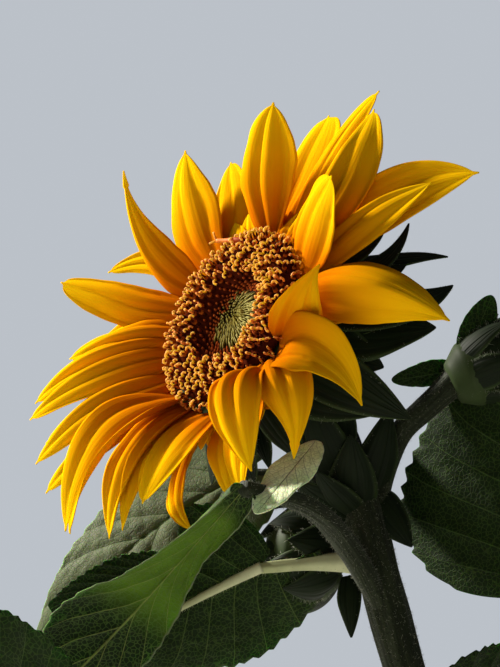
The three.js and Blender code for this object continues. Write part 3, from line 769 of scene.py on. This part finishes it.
def buildPetals():
    petals = [*frontPetals, *backPetals, splitPetal]
    for i, ray in enumerate(petals):
        depth = petalRoot["depth"] + (petalRoot["backStep"] if ray in backPetals else 0)
        shape = onRim(ray, petalRoot["radius"], depth)
        shape["outline"] = petalOutline(ray.get("swell", 0.8), ray.get("blunt", 0.75))
        patch = bladePatch(shape, petalLook, petalFolds(10 * i, ray.get("pleat", 1.0)), petalMargin(10 * i))
        node = ray.get("node", f"petal_{i + 1:02d}")
        addPiece(f"petal_blade_{i + 1:02d}", [patch], petalSkin, [node])
    front = sorted(frontPetals, key=lambda ray: ray["at"])
    places, lifts = (np.array([ray[key] for ray in front]) for key in ("at", "lift"))
    places = np.concatenate([places[-1:] - 360, places, places[:1] + 360])
    lifts = np.concatenate([lifts[-1:], lifts, lifts[:1]])
    short, patches = shortPetals, []
    for i in range(short["count"]):
        at = 360 * (i + 0.3 * math.sin(i * 2.2)) / short["count"]
        lift = float(np.interp(at, places, lifts)) * short["part"] - short["drop"]
        ray = rayOf(at, short["length"], short["width"], lift, short["veer"])
        shape = {**onRim(ray, short["radius"], short["depth"]), "outline": petalOutline(*short["outline"])}
        patches.append(bladePatch(shape, short["look"], petalFolds(400 + i), petalMargin(400 + i)))
    addPiece("petals_short", patches, petalSkin, [])
    f = forkedRay
    outward, onward = clock(f["at"])
    foot = headCentre + outward * f["radius"] + facing * f["height"]
    ahead = aimed(f["at"], f["lift"], f["veer"])
    tip = foot + ahead * f["length"]
    tube = limbPatch([foot, foot + ahead * 6 + facing, tip - ahead * 6, tip], f["radii"], rings=24, sides=10)
    ends = [tip + outward * apart + facing * 2 - onward * 3 for apart in f["tines"]]
    tines = [limbPatch([tip - ahead * 2, tip, end], f["tineRadii"], rings=12, sides=8) for end in ends]
    addPiece("ray_forked", [tube, *tines], styleSkin, [])
    print("petals:", len(petals), "and", len(patches), "short ones")


# The disc: the radii where its florets change, how far apart they stand, how many stand at its rim, where its
# middle lies to 12 and 3 o'clock of the head's, and how far its florets' own middle drifts to 3 o'clock.
disc = {
    "radius": 44.5, "openFrom": 27, "closedFrom": 17.5, "innerSpacing": 2.1, "outerSpacing": 5.0, "rim": 50,
    "shift": (0.3, 3.8), "drift": 6,
}
discHeights = {
    "at": (0, 4, 10, 17.5, 25, 32, 39.5, 42.2, 43.2), "height": (-11, -10.5, -8.5, -4, 1.4, 5, 5.8, 4.6, 1.2),
}
discBed = {"rings": 60, "sides": 96, "edge": (-1.2, -0.6, -1.4), "edgeHeights": (4.2, 1.5, 0.6), "bottom": 15}


# Radii and clock angles of florets: each turns on by the golden angle, and takes up the area of one.
def floretPlaces():
    rng = np.random.default_rng(7)
    radii, area = [], 0.0
    while True:
        r = math.sqrt(area / math.pi)
        if r > disc["radius"] - 0.8:
            break
        radii.append(r)
        spacing = mix(disc["innerSpacing"], disc["outerSpacing"], float(ease(18, 34, r)))
        area += spacing ** 2 * 0.87
    rim = disc["rim"]
    radii = np.array(radii + [disc["radius"] - 1.6] * rim)
    turn = np.arange(len(radii)) * 137.508  # the golden angle
    turn[-rim:] = np.arange(rim) * 360 / rim
    return radii + rng.normal(0, 0.12, len(radii)), turn + rng.normal(0, 0.6, len(radii))


def discHeight(r):
    return np.interp(r, discHeights["at"], discHeights["height"])


# Copies a small ring-built form to many places: each point is the foot plus its own axes times the form.
def copies(form, feet, axes, sizes):
    points = feet[:, None] + np.einsum("kij,nj->kni", axes, form["points"]) * sizes[:, None, None]
    n, count = len(form["points"]), len(feet)
    shift = n * np.arange(count)
    faces = [(f[None] + shift[:, None, None]).reshape(-1, f.shape[1]) for f in form["faces"]]
    return makePatch(points.reshape(-1, 3), faces, tone=np.tile(form["tone"], count))


# A small closed round form: rings of n sides at heights along a bent axis, with a tone from foot to tip.
def smallForm(centres, radii, sides, tones):
    centres = np.asarray(centres, float)
    ahead = unit(np.gradient(centres, axis=0))
    side = unit(np.cross(ahead, np.array([0.0, 1.0, 0.0]) + ahead[:, ::-1] * 0.01))
    ring = spokes(side, np.cross(ahead, side), sides)
    points = (centres[:, None] + ring * np.asarray(radii, float)[:, None, None]).reshape(-1, 3)
    rings, end = len(centres), np.arange(sides)[None]
    faces = [ringFaces(rings, sides), end[:, ::-1], (rings - 1) * sides + end]
    return makePatch(points, faces, tone=np.repeat(np.asarray(tones, float), sides))


# Forms stand along +Z, and +X is out from the middle of the disc.
openTube = smallForm(
    [(0, 0, -1.5), (0, 0, 1.4), (0, 0, 2.4), (0, 0, 3.4)], [0.6, 0.75, 1.05, 0.7], 6, [0, 0.4, 1, 0.6])
antherTube = smallForm([(0, 0, 3.0), (0, 0, 4.4), (0, 0, 5.0)], [0.55, 0.5, 0.35], 5, [0, 0.3, 0.7])
curlOut = smallForm([
    (0, 0, 4.4), (0.35, 0, 5.7), (1.2, 0, 6.5), (2.1, 0, 6.2), (2.3, 0, 5.2), (1.7, 0, 4.8),
], [0.4, 0.48, 0.54, 0.56, 0.5, 0.25], 5, [0, 0.3, 0.7, 1, 0.9, 0.7])
curlIn = {**curlOut, "points": curlOut["points"] * [-1, -1, 1]}
closedForm = smallForm(
    [(0, 0, -1), (0, 0, 1.2), (0, 0, 2.3), (0, 0, 3.0)], [0.7, 0.85, 0.6, 0.15], 6, [0, 0.5, 0.8, 1])
chaffForm = smallForm(
    [(0, 0, -1.5), (0, 0, 1.2), (0, 0, 3.2), (-0.2, 0, 5.2)], [0.55, 0.6, 0.42, 0.08], 5, [0, 0.3, 0.75, 1])


def buildDisc():
    rng = np.random.default_rng(11)
    radii, angle = floretPlaces()
    outward, onward = clock(angle)
    middlePoint = headCentre + noon * disc["shift"][0] + three * disc["shift"][1]
    height = np.maximum(discHeight(radii), 2.0 * (radii > disc["radius"] - 2.2))
    slope = (discHeight(radii + 0.5) - discHeight(radii - 0.5)).clip(-1.2, 1.2)[:, None]

    def onDisc(outward, r, height):
        drift = three * disc["drift"] * (1 - np.clip(r / disc["radius"], 0, 1)) ** 2
        return middlePoint + drift + outward * r + facing * height

    feet = onDisc(outward, radii[:, None], height[:, None])
    lean = ease(23, 44, radii) * 0.55 + ease(41.5, 42.8, radii) * 0.6  # outward at the rim
    lean = lean - ease(2, 9, radii) * (1 - ease(17, 27, radii)) * 0.8  # and inward round the middle
    stand = unit(facing - outward * slope * 0.6 + outward * lean[:, None] + rng.normal(0, 0.07, feet.shape))
    out = unit(outward - stand * np.sum(outward * stand, 1, keepdims=True))
    side = np.cross(stand, out)
    axes = np.stack([out, side, stand], -1)
    spin = rng.uniform(-0.9, 0.9, (len(radii), 1))
    cos, sin = np.cos(spin), np.sin(spin)
    spun = np.stack([out * cos + side * sin, side * cos - out * sin, stand], -1)
    size = rng.uniform(0.85, 1.15, len(radii)) * np.where(radii > disc["openFrom"], 1.2, 1)
    size = size * (1 - 0.15 * ease(36, 43, radii))
    wide = radii >= disc["openFrom"] + rng.normal(0, 1.0, len(radii))
    closed = ~wide & (radii >= disc["closedFrom"] + rng.normal(0, 1.5, len(radii)))
    middle = ~wide & ~closed

    def add(name, forms, which, frames, skin):
        patches = [copies(form, feet[which], frames[which], size[which]) for form in forms]
        addPiece(name, patches, skin, ["disc"])

    add("florets_tubes", [openTube, antherTube], wide, axes, openSkin)
    add("florets_styles", [curlOut, curlIn], wide, spun, styleSkin)
    add("florets_closed", [closedForm], closed, axes, closedSkin)
    add("florets_centre", [chaffForm], middle, axes, chaffSkin)
    b = discBed
    inner = disc["radius"] + np.linspace(0.6 - disc["radius"], -2.4, b["rings"])
    r = np.concatenate([inner, disc["radius"] + np.array(b["edge"])])
    h = np.concatenate([discHeight(inner), b["edgeHeights"]])
    turned, _ = clock(np.degrees(turns(b["sides"])))
    grid = onDisc(turned[None], r[:, None, None], h[:, None, None])
    ends = [onDisc(facing * 0, 0, discHeight(0)), middlePoint - facing * b["bottom"]]
    addPiece("disc_bed", [closedRings(grid, ends)], bedSkin, ["disc"])
    print("florets:", int(wide.sum()), "open,", int(closed.sum()), "closed,", int(middle.sum()), "in the middle")


# The receptacle and the green bracts behind the petals.
cup = {"radius": 48, "depth": 30, "neck": 12, "rings": 40, "sides": 120, "ribs": 17, "rib": 0.5, "inside": 17}
headBracts = [
    rayOf(10, 42, 22, -20, 0),
    rayOf(40, 40, 20, -20, 0),
    rayOf(56, 46, 26, -28, 4, hook=0.1),
    rayOf(64, 61, 15, -34, -6, bow=-0.16, hook=0.26),
    rayOf(72, 73, 19, -41, -14, bow=0.1, hook=-0.04),
    rayOf(78, 52, 34, -38, -18, hook=0.04),
    rayOf(86, 75, 32, -48, -22, bow=-0.12, hook=0.04),
    rayOf(97, 64, 44, -50, -10, tip=0.1),
    rayOf(108, 44, 32, -50, 4),
    rayOf(122, 66, 30, -46, 2),
    rayOf(136, 52, 36, -50, -20),
    rayOf(160, 40, 22, -40, 0),
    rayOf(186, 40, 22, -35, 0),
    *[rayOf(at, 42, 22, lift, 0) for at, lift in zip(range(212, 343, 26), (-30, -25, -25, -25, -20, -20))],
]
bractLook = lookOf(40, 14, 1.0, 0.6)
innerBracts = {"count": 17, "length": 34, "width": 17, "lift": -34, "radius": 36, "depth": 19}


# Keeps the hairs that stand at a blade's margins.
def bySide(foot, out, flow):
    return np.abs(flow[:, 0] * 2 - 1) > 0.8


# A piece of bracts, and one of the hairs at their margins.
def addBracts(name, hairName, patches, kind, seed, node):
    addPiece(name, patches, bractSkin, [node])
    fringe = [hairPatch(p, kind, seed + i, bySide) for i, p in enumerate(patches)]
    addPiece(hairName, fringe, hairSkin, [node])


# A bract's midrib ridge on its back, two weaker veins, and a margin that waves.
def bractRelief(seed):
    def relief(t, a):
        ridge = -0.7 * np.exp(-(a / 0.09) ** 2) * (1 - t) ** 0.5
        pair = -0.3 * np.exp(-((np.abs(a) - 0.45) / 0.1) ** 2) * np.sin(np.pi * t)
        wave = 1.3 * np.abs(a) ** 2 * ripple(t, np.sign(a) * 0.4, seed, 0.7)
        return ridge + pair + wave * np.sin(np.pi * np.clip(t, 0, 1)) ** 0.5

    return relief


def buildReceptacle():
    r, d = cup["radius"], cup["depth"]
    profile = np.array([
        (cup["neck"] - 2, -d - 2), (cup["neck"] + 1, -d), (20, -d * 0.9), (r * 0.6, -d * 0.66), (r * 0.8, -d * 0.45),
        (r * 0.93, -d * 0.26), (r * 0.99, -d * 0.08), (r, 0.2),
    ])
    step = np.linspace(0, 1, len(profile))
    fine = np.linspace(0, 1, cup["rings"])
    radii, heights = np.interp(fine, step, profile[:, 0]), np.interp(fine, step, profile[:, 1])
    turn = turns(cup["sides"])
    outward, _ = clock(np.degrees(turn))
    ribs = cup["rib"] * np.cos(turn * cup["ribs"])[None, :] * np.sin(np.pi * fine)[:, None]
    grid = headCentre + outward[None] * (radii[:, None] + ribs)[..., None] + facing * heights[:, None, None]
    ends = [headCentre - facing * (d + 2), headCentre - facing * cup["inside"]]
    addPiece("receptacle_cup", [closedRings(grid, ends, flip=True)], bractSkin, ["receptacle"])
    rays = [onHead(bract, r * 0.83, d * 0.42) for bract in headBracts]
    b = innerBracts
    for i in range(b["count"]):
        ray = rayOf(360 * (i + 0.5) / b["count"], b["length"], b["width"], b["lift"], 4 * math.sin(i * 2.4))
        rays.append(onHead(ray, b["radius"], b["depth"]))
    patches = [
        bladePatch({"outline": bractOutline, **ray}, bractLook, bractRelief(300 + i)) for i, ray in enumerate(rays)
    ]
    addBracts("receptacle_bracts", "receptacle_hairs", patches, "margin", 500, "receptacle")
    print("receptacle and its bracts:", len(patches))


# Stem, neck, side branch and leaf stalks.
stemShape = {
    "route": [
        [0, 0, 0], [0, 0, 70], [-8, -1, 150], [-20, -1, 203], [-30, 0, 245], [-36, 0, 273], [-41, 0, 291],
        [-48, 2, 318], [-60, -2, 342], [-76, -20, 357], [-83, -27.5, 360.5],
    ],
    "radii": [11, 10.8, 10.5, 10.2, 10, 9.8, 10, 10.4, 10.3, 9.8, 9.7, 10.4, 12.5],
    "rings": 260, "sides": 48, "relief": (9, 0.28, 0.35, 0),
}
branchShape = {
    "route": [[-33, 4, 277], [-26, -1, 302], [-18, -6, 320], [-6, -11, 331], [10, -17, 345]],
    "radii": [6.5, 5.6, 5.5, 5.8, 6, 6.4, 7], "rings": 70, "sides": 28, "relief": (6, 0.2, 0.25, 1.5),
}
stalkShape = {"rings": 70, "sides": 24, "relief": (5, 0.2, 0.2, 2.0)}


# Ribs along a limb and slow lumps; a flare swells its foot where it leaves the stem.
def ribbedLimb(shape, seed, flatFoot=False):
    ribs, rib, lump, flare = shape["relief"]

    def relief(s, turn, reach):
        wander = 0.5 * ripple(s / 60, s * 0, seed, 1.0)
        edges = rib * np.cos(ribs * turn + wander * 2)
        lumps = lump * ripple(s / 30, np.cos(turn) + 2 * np.sin(turn), seed + 1, 1.5)
        return edges + lumps + flare * np.exp(-((s / 9.0) ** 2))

    return limbPatch(shape["route"], shape["radii"], shape["rings"], shape["sides"], relief, flatFoot)


def buildStem():
    stem = ribbedLimb(stemShape, seed=21, flatFoot=True)
    addPiece("stem_skin", [stem], stemSkin, ["stem", "neck"])
    branch = ribbedLimb(branchShape, seed=31)
    addPiece("side_branch_skin", [branch], stemSkin, ["side_branch"])
    stalks = []
    for i, (name, leaf) in enumerate(leaves.items()):
        radii = [leaf["radii"][0] * 1.25, *leaf["radii"], leaf["radii"][-1] * 0.9]
        stalk = ribbedLimb({**stalkShape, "route": leaf["stalk"], "radii": radii}, 41 + i)
        skin = paleSkin if name == "lower_middle" else stemSkin
        addPiece(f"stalk_skin_{name}", [stalk], skin, [f"stalk_{name}"])
        stalks.append(stalk)
    above = hairPatch(stem, "stem", 51, lambda foot, out, flow: foot[:, 2] > 2)
    addPiece("stem_hairs", [above], hairSkin, ["stem", "neck"])
    limbHairs = [hairPatch(p, "limb", 52 + i) for i, p in enumerate([branch, *stalks])]
    addPiece("limb_hairs", limbHairs, hairSkin, ["side_branch"])
    print("stem, branch and stalks")


# The leafy bracts on the neck.
neckBracts = [
    spanned((-47, -10, 311), (-50, -42, 334), 15, (0, 0.8, 0.6)),
    spanned((-34, 0, 290), (-14, -4, 261), 22, (0, 1, 0)),
    spanned((-38, 0, 284), (-24, -21, 329), 26, (-0.3, 0.9, 0.2)),
    spanned((-46, -2, 284), (-68, -38, 334), 32, (0.3, 0.8, 0.5)),
    spanned((-43, -4, 279), (-45, -31, 311), 28, (0, 0.8, 0.6)),
    spanned((-39, 4, 288), (-26, 22, 335), 24, (-0.8, -0.2, 0.4)),
    spanned((-46, 5, 294), (-57, 24, 338), 22, (0.1, -1, 0.4)),
    spanned((-43, -4, 278), (-62, -28, 293), 20, (0.2, 0.6, 0.7)),
    spanned((-45, 2, 276), (-72, -22, 290), 26, (0.2, 0.7, 0.6)),
    spanned((-40, 2, 281), (-44, -10, 312), 34, (0, 1, 0.2)),
    spanned((-44, 20, 252), (-44, 18, 220), 13, (0.2, 0.9, 0.2)),
]


def buildNeckBracts():
    patches = []
    for i, bract in enumerate(neckBracts):
        shape = {**bract, "outline": bractOutline, "cup": 0.5, "arch": -0.08}
        patches.append(bladePatch(shape, bractLook, bractRelief(600 + i)))
    addBracts("neck_bracts", "neck_bract_hairs", patches, "margin", 620, "neck")
    print("neck bracts:", len(patches))


# Each leaf's blade with its bends, its stalk and the stalk's radii. Relief is how strong its own relief is,
# and slim takes a part off one side.
leaves = {
    "upper_left": spanned((-96, 18, 307), (-206, 38, 212), 74, (-0.4, -0.88, 0.18), lobes=0.1, arch=0.05,
        bow=-0.05, cup=-0.25, tone=0.1, relief=0.8, stalk=[(-41, 3, 288), (-66, 16, 303), (-98, 18, 306)],
        radii=[4.5, 3]),
    "lower_left": spanned((-97, -87, 268), (-193, 4, 187), 60, (-0.3, 0.55, 0.76), arch=0.04, bow=-0.04,
        roll=20, cup=-0.5, curl=-1.5, outline=longOutline, tone=1.0, relief=0.8, creases=[(-6, 0.0)],
        slim=(-1, 0.3, 0.1, 0.3),
        stalk=[(-21, -1, 208), (-27, -3, 222), (-35, -9, 239), (-48, -26, 256), (-68, -60, 266), (-98, -88, 267)],
        radii=[4, 6, 6, 5.6, 4.8, 4]),
    "lower_middle": spanned((-89, 0, 252), (-171, 8, 208), 84, (0.05, 0.8, 0.6), lobes=0.2, skew=-0.6,
        arch=0.05, cup=0.3, tone=0.55, slim=(1, 0.85, 0.25, 0.5), ribs=[3, 2.2, 1.3, 0.5],
        stalk=[(-36, 1, 255), (-65, 1, 254), (-91, 0, 251)], radii=[4.5, 3]),
    "right": spanned((46, -14, 246), (44, -44, 366), 140, (0.2, 0.6, 0.5), lobes=0.1, arch=0.05, cup=0.5,
        stalk=[(-9, -1, 150), (25, -8, 190), (46, -14, 248)], radii=[6, 4]),
    "corner_left": spanned((-192, -37, 157), (-253, -54, 225), 76, (-0.1, 0.5, 0.85), lobes=0.12, arch=0.05,
        cup=0.2, stalk=[(-5, -1, 122), (-60, -16, 128), (-120, -28, 136), (-194, -38, 158)], radii=[6, 5, 4]),
    "corner_right": spanned((1, 43, 178), (84, 65, 207), 76, (0, 0.6, 0.8), lobes=0.12, arch=0.05, cup=0.2,
        stalk=[(-9, 0, 142), (-3, 22, 158), (2, 44, 179)], radii=[5, 4]),
}
# The folded margin of the upper left leaf, whose lower side shows, and which way a rib lies off its blade.
leafFold = spanned((-133.5, -2, 254.9), (-197.1, 24, 235.8), 21, (-0.3, 0.85, 0.3), bow=0.02, tone=0.5)
ribSide = np.array([0.0, -0.54, -0.24])
leafLook = lookOf(150, 64, 1.0, 0.5)
leafShape = {"pairs": 7.0, "sweep": 0.3, "rib": 1.3, "vein": 0.6, "blister": 0.9, "teeth": 17, "bite": 0.045}
leafletLook = lookOf(50, 20, 0.9, 0.5)
leaflets = {
    "front": spanned((-64, -70, 295), (-92, -94, 253), 24, (-0.4, -0.78, 0.33), tone=-0.5),
    "bud_upper": spanned((14, -23, 352), (28, -39, 383), 17, (0.1, 0.8, 0.4)),
    "bud_side": spanned((16, -11, 354), (-22, -12, 347), 14, (0, 0.6, 0.7)),
}


# Ribs stand out below: the midrib and the side veins sink the upper face, and the blade between them
# swells. The side veins run as the finish draws them.
def leafRelief(seed, part=1.0):
    m = leafShape

    def relief(t, a):
        out = np.abs(a)
        step = (t - m["sweep"] * out ** 0.9) * m["pairs"] + 0.5 * (a > 0)
        away = np.abs(step - np.round(step))
        side = np.exp(-(away / 0.07) ** 2) * (1 - 0.6 * out)
        rib = np.exp(-(out / 0.05) ** 2) * (1 - 0.8 * t)
        swell = m["blister"] * (1 - np.exp(-(away / 0.22) ** 2)) * np.minimum(out * 6, 1)
        bumps = 0.35 * ripple(t, a * 0.4, seed, 0.09, 9)
        wave = 3.0 * out ** 3 * ripple(t, np.sign(a) * 0.7, seed + 3, 0.5)
        fade = np.sin(np.pi * np.clip(t, 0.02, 0.98)) ** 0.4
        return part * (-m["rib"] * rib - m["vein"] * side + (swell + bumps + wave) * fade)

    return relief


# Forward-pointing teeth along the margin. Slim takes a part off one side, from low to high along it.
def leafTeeth(seed, teeth, bite, slim=None):
    def margin(t, a):
        saw = (t * teeth + 0.15 * ripple(t, np.sign(a), seed, 0.2)) % 1.0
        tooth = np.where(saw < 0.72, saw / 0.72, (1 - saw) / 0.28)
        whole = 1 + bite * (tooth - 0.6) * np.abs(a) ** 8
        if slim is None:
            return whole
        side, part, low, high = slim
        return whole * (1 - part * ease(low, high, t) * (a * side > 0))

    return margin


def buildLeaves():
    for i, (name, leaf) in enumerate(leaves.items()):
        shape = {"outline": leafOutline, **leaf}
        margin = leafTeeth(700 + i, leafShape["teeth"], leafShape["bite"], leaf.get("slim"))
        patch = bladePatch(shape, leafLook, leafRelief(720 + 10 * i, leaf.get("relief", 1.0)), margin)
        addPiece(f"leaf_blade_{name}", [patch], leafSkin, [f"leaf_{name}"])
        if "ribs" in leaf:
            t = np.linspace(0, 0.85, 14)
            line = bladeSurface(shape, t, t * 0, np.ones(14))
            rib = limbPatch(line + ribSide, leaf["ribs"], rings=60, sides=12)
            patches = [rib, hairPatch(rib, "rib", 760 + i)]
            addPiece(f"leaf_rib_{name}", patches, paleSkin, [f"leaf_{name}"])
    for i, (name, leaf) in enumerate(leaflets.items()):
        shape = {"outline": ovalOutline, **leaf}
        patch = bladePatch(shape, leafletLook, leafRelief(820 + 10 * i, 0.35), leafTeeth(840 + i, 6, 0.03))
        addPiece(f"leaflet_blade_{name}", [patch], leafSkin, [f"leaflet_{name}"])
    shape = {"outline": foldOutline, **leafFold}
    patch = bladePatch(shape, leafLook, leafRelief(860, 0.5), leafTeeth(870, 14, 0.12))
    addPiece("leaf_fold_1", [patch], leafSkin, ["leaf_upper_left"])
    print("leaves:", len(leaves), "and leaflets:", len(leaflets))


# The two closed buds: where each stands, its radius, and the stalk of the one that has its own.
buds = {
    "left": {
        "foot": (-46, 26, 262), "top": (-88, 26, 266), "radius": 26,
        "stalk": [(-36, 4, 252), (-47, 26, 262)], "radii": [4, 5],
    },
    "right": {"foot": (7, -15, 343), "top": (56, -24, 363), "radius": 20, "stalk": None},
}
budProfile = {
    "height": (0, 0.02, 0.2, 0.48, 0.74, 0.95, 1), "radius": (0, 0.5, 0.9, 1.0, 0.94, 0.6, 0),
    "rings": 30, "sides": 48,
}
# Rows of bracts: how many, where they start and end in lengths and radii of the bud, and their bulge.
budRows = [
    {"count": 7, "start": (0.02, 0.3), "end": (0.72, 1.16), "width": 0.95, "bulge": 0.3, "turn": 0.0},
    {"count": 7, "start": (0.15, 0.6), "end": (0.95, 0.85), "width": 0.9, "bulge": 0.32, "turn": 0.5},
    {"count": 6, "start": (0.4, 0.75), "end": (1.08, 0.3), "width": 0.85, "bulge": 0.26, "turn": 0.2},
]
budLook = lookOf(24, 10, 0.9, 0.6)


def buildBud(name, bud, seed):
    foot = np.array(bud["foot"], float)
    axis = np.array(bud["top"], float) - foot
    length = float(np.linalg.norm(axis))
    axis = axis / length
    side = unit(np.cross(up, axis))
    lift = np.cross(side, axis)
    radius = bud["radius"]
    fine = np.linspace(0, 1, budProfile["rings"])[:, None, None]
    radii = np.interp(fine, budProfile["height"], budProfile["radius"]) * radius
    grid = foot + axis * fine * length + spokes(side, lift, budProfile["sides"]) * np.maximum(radii, 0.05)
    core = closedRings(grid, [foot, foot + axis * length], flip=True)
    patches = []
    for k, row in enumerate(budRows):
        for i in range(row["count"]):
            angle = 2 * np.pi * (i + row["turn"] + 0.06 * math.sin(5.0 * i + k)) / row["count"]
            outward = side * math.cos(angle) + lift * math.sin(angle)
            root, tip = (
                foot + axis * length * row[end][0] + outward * radius * row[end][1] for end in ("start", "end"))
            shape = spanned(root, tip, radius * row["width"], -outward, outline=budOutline, cup=0.5)
            shape["arch"] = -row["bulge"] * radius / shape["length"]
            patches.append(bladePatch(shape, budLook, bractRelief(seed + 10 * k + i)))
    extra = [limbPatch(bud["stalk"], bud["radii"], rings=20, sides=20)] if bud["stalk"] else []
    addPiece(f"bud_core_{name}", [core, *extra], bractSkin, [f"bud_{name}"])
    addBracts(f"bud_bracts_{name}", f"bud_hairs_{name}", patches, "bud", seed + 50, f"bud_{name}")
    print("bud", name, "with", len(patches), "bracts")


# Floor, light and camera, in metres.
floor = {"size": 6.0, "color": (0.78, 0.77, 0.74), "mottle": (3.0, 0.02), "roughness": 0.9}
keyLight = {
    "toward": (-0.77, 0.22, 0.60), "distance": 1.6, "size": 0.22, "energy": 74.0, "color": (1.0, 0.95, 0.86),
}
fillLight = {"color": (0.86, 0.92, 1.0), "strength": 0.08, "seen": 0.58}
view = {"target": (-0.095, -0.044, 0.360), "distance": 0.8, "rise": 22, "lens": 86.36, "sensor": 36}


def buildFloor():
    half = floor["size"] / 2
    mesh = bpy.data.meshes.new("floor")
    mesh.from_pydata([(-half, -half, 0), (half, -half, 0), (half, half, 0), (-half, half, 0)], [], [(0, 1, 2, 3)])
    material, tree, shader = newMaterial("floor", floor)
    paint(tree, shader, floor, floor["color"])
    mesh.materials.append(material)
    newObject("floor", mesh)


def buildLight():
    lamp = bpy.data.lights.new("key", "AREA")
    lamp.shape, lamp.size, lamp.energy = "DISK", keyLight["size"], keyLight["energy"]
    lamp.color = keyLight["color"]
    key = newObject("key", lamp)
    aim = unit(keyLight["toward"])
    key.location = np.array(view["target"]) + aim * keyLight["distance"]
    key.rotation_euler = toEuler(aim)
    world = bpy.data.worlds.new("studio")
    world.use_nodes = True
    back = world.node_tree.nodes["Background"]
    back.inputs["Color"].default_value = (*fillLight["color"], 1)
    tree, low, high = world.node_tree, fillLight["strength"], fillLight["seen"]
    seen = addNode(tree, "LightPath").outputs["Is Camera Ray"]
    tree.links.new(calc(tree, "MULTIPLY_ADD", seen, high - low, low), back.inputs["Strength"])
    bpy.context.scene.world = world
    bpy.context.scene.view_settings.view_transform = "Standard"


# Turns an object's own -Z against the given direction, so a lamp placed along it shines back.
def toEuler(aim):
    flat = math.hypot(aim[0], aim[1])
    return (math.atan2(flat, aim[2]), 0, math.atan2(aim[0], -aim[1]))


def buildCamera():
    lens = bpy.data.cameras.new("camera")
    lens.lens, lens.sensor_width = view["lens"], view["sensor"]
    lens.clip_start = 0.01
    camera = newObject("camera", lens)
    rise = math.radians(view["rise"])
    ahead = np.array([0, math.cos(rise), math.sin(rise)])
    camera.location = np.array(view["target"]) - ahead * view["distance"]
    camera.rotation_euler = (math.pi / 2 + rise, 0, 0)
    bpy.context.scene.camera = camera


buildPetals()
buildDisc()
buildReceptacle()
buildStem()
buildNeckBracts()
buildLeaves()
for index, (budName, budShape) in enumerate(buds.items()):
    buildBud(budName, budShape, 900 + 100 * index)
buildFloor()
buildLight()
buildCamera()
print("floor, light and camera set")
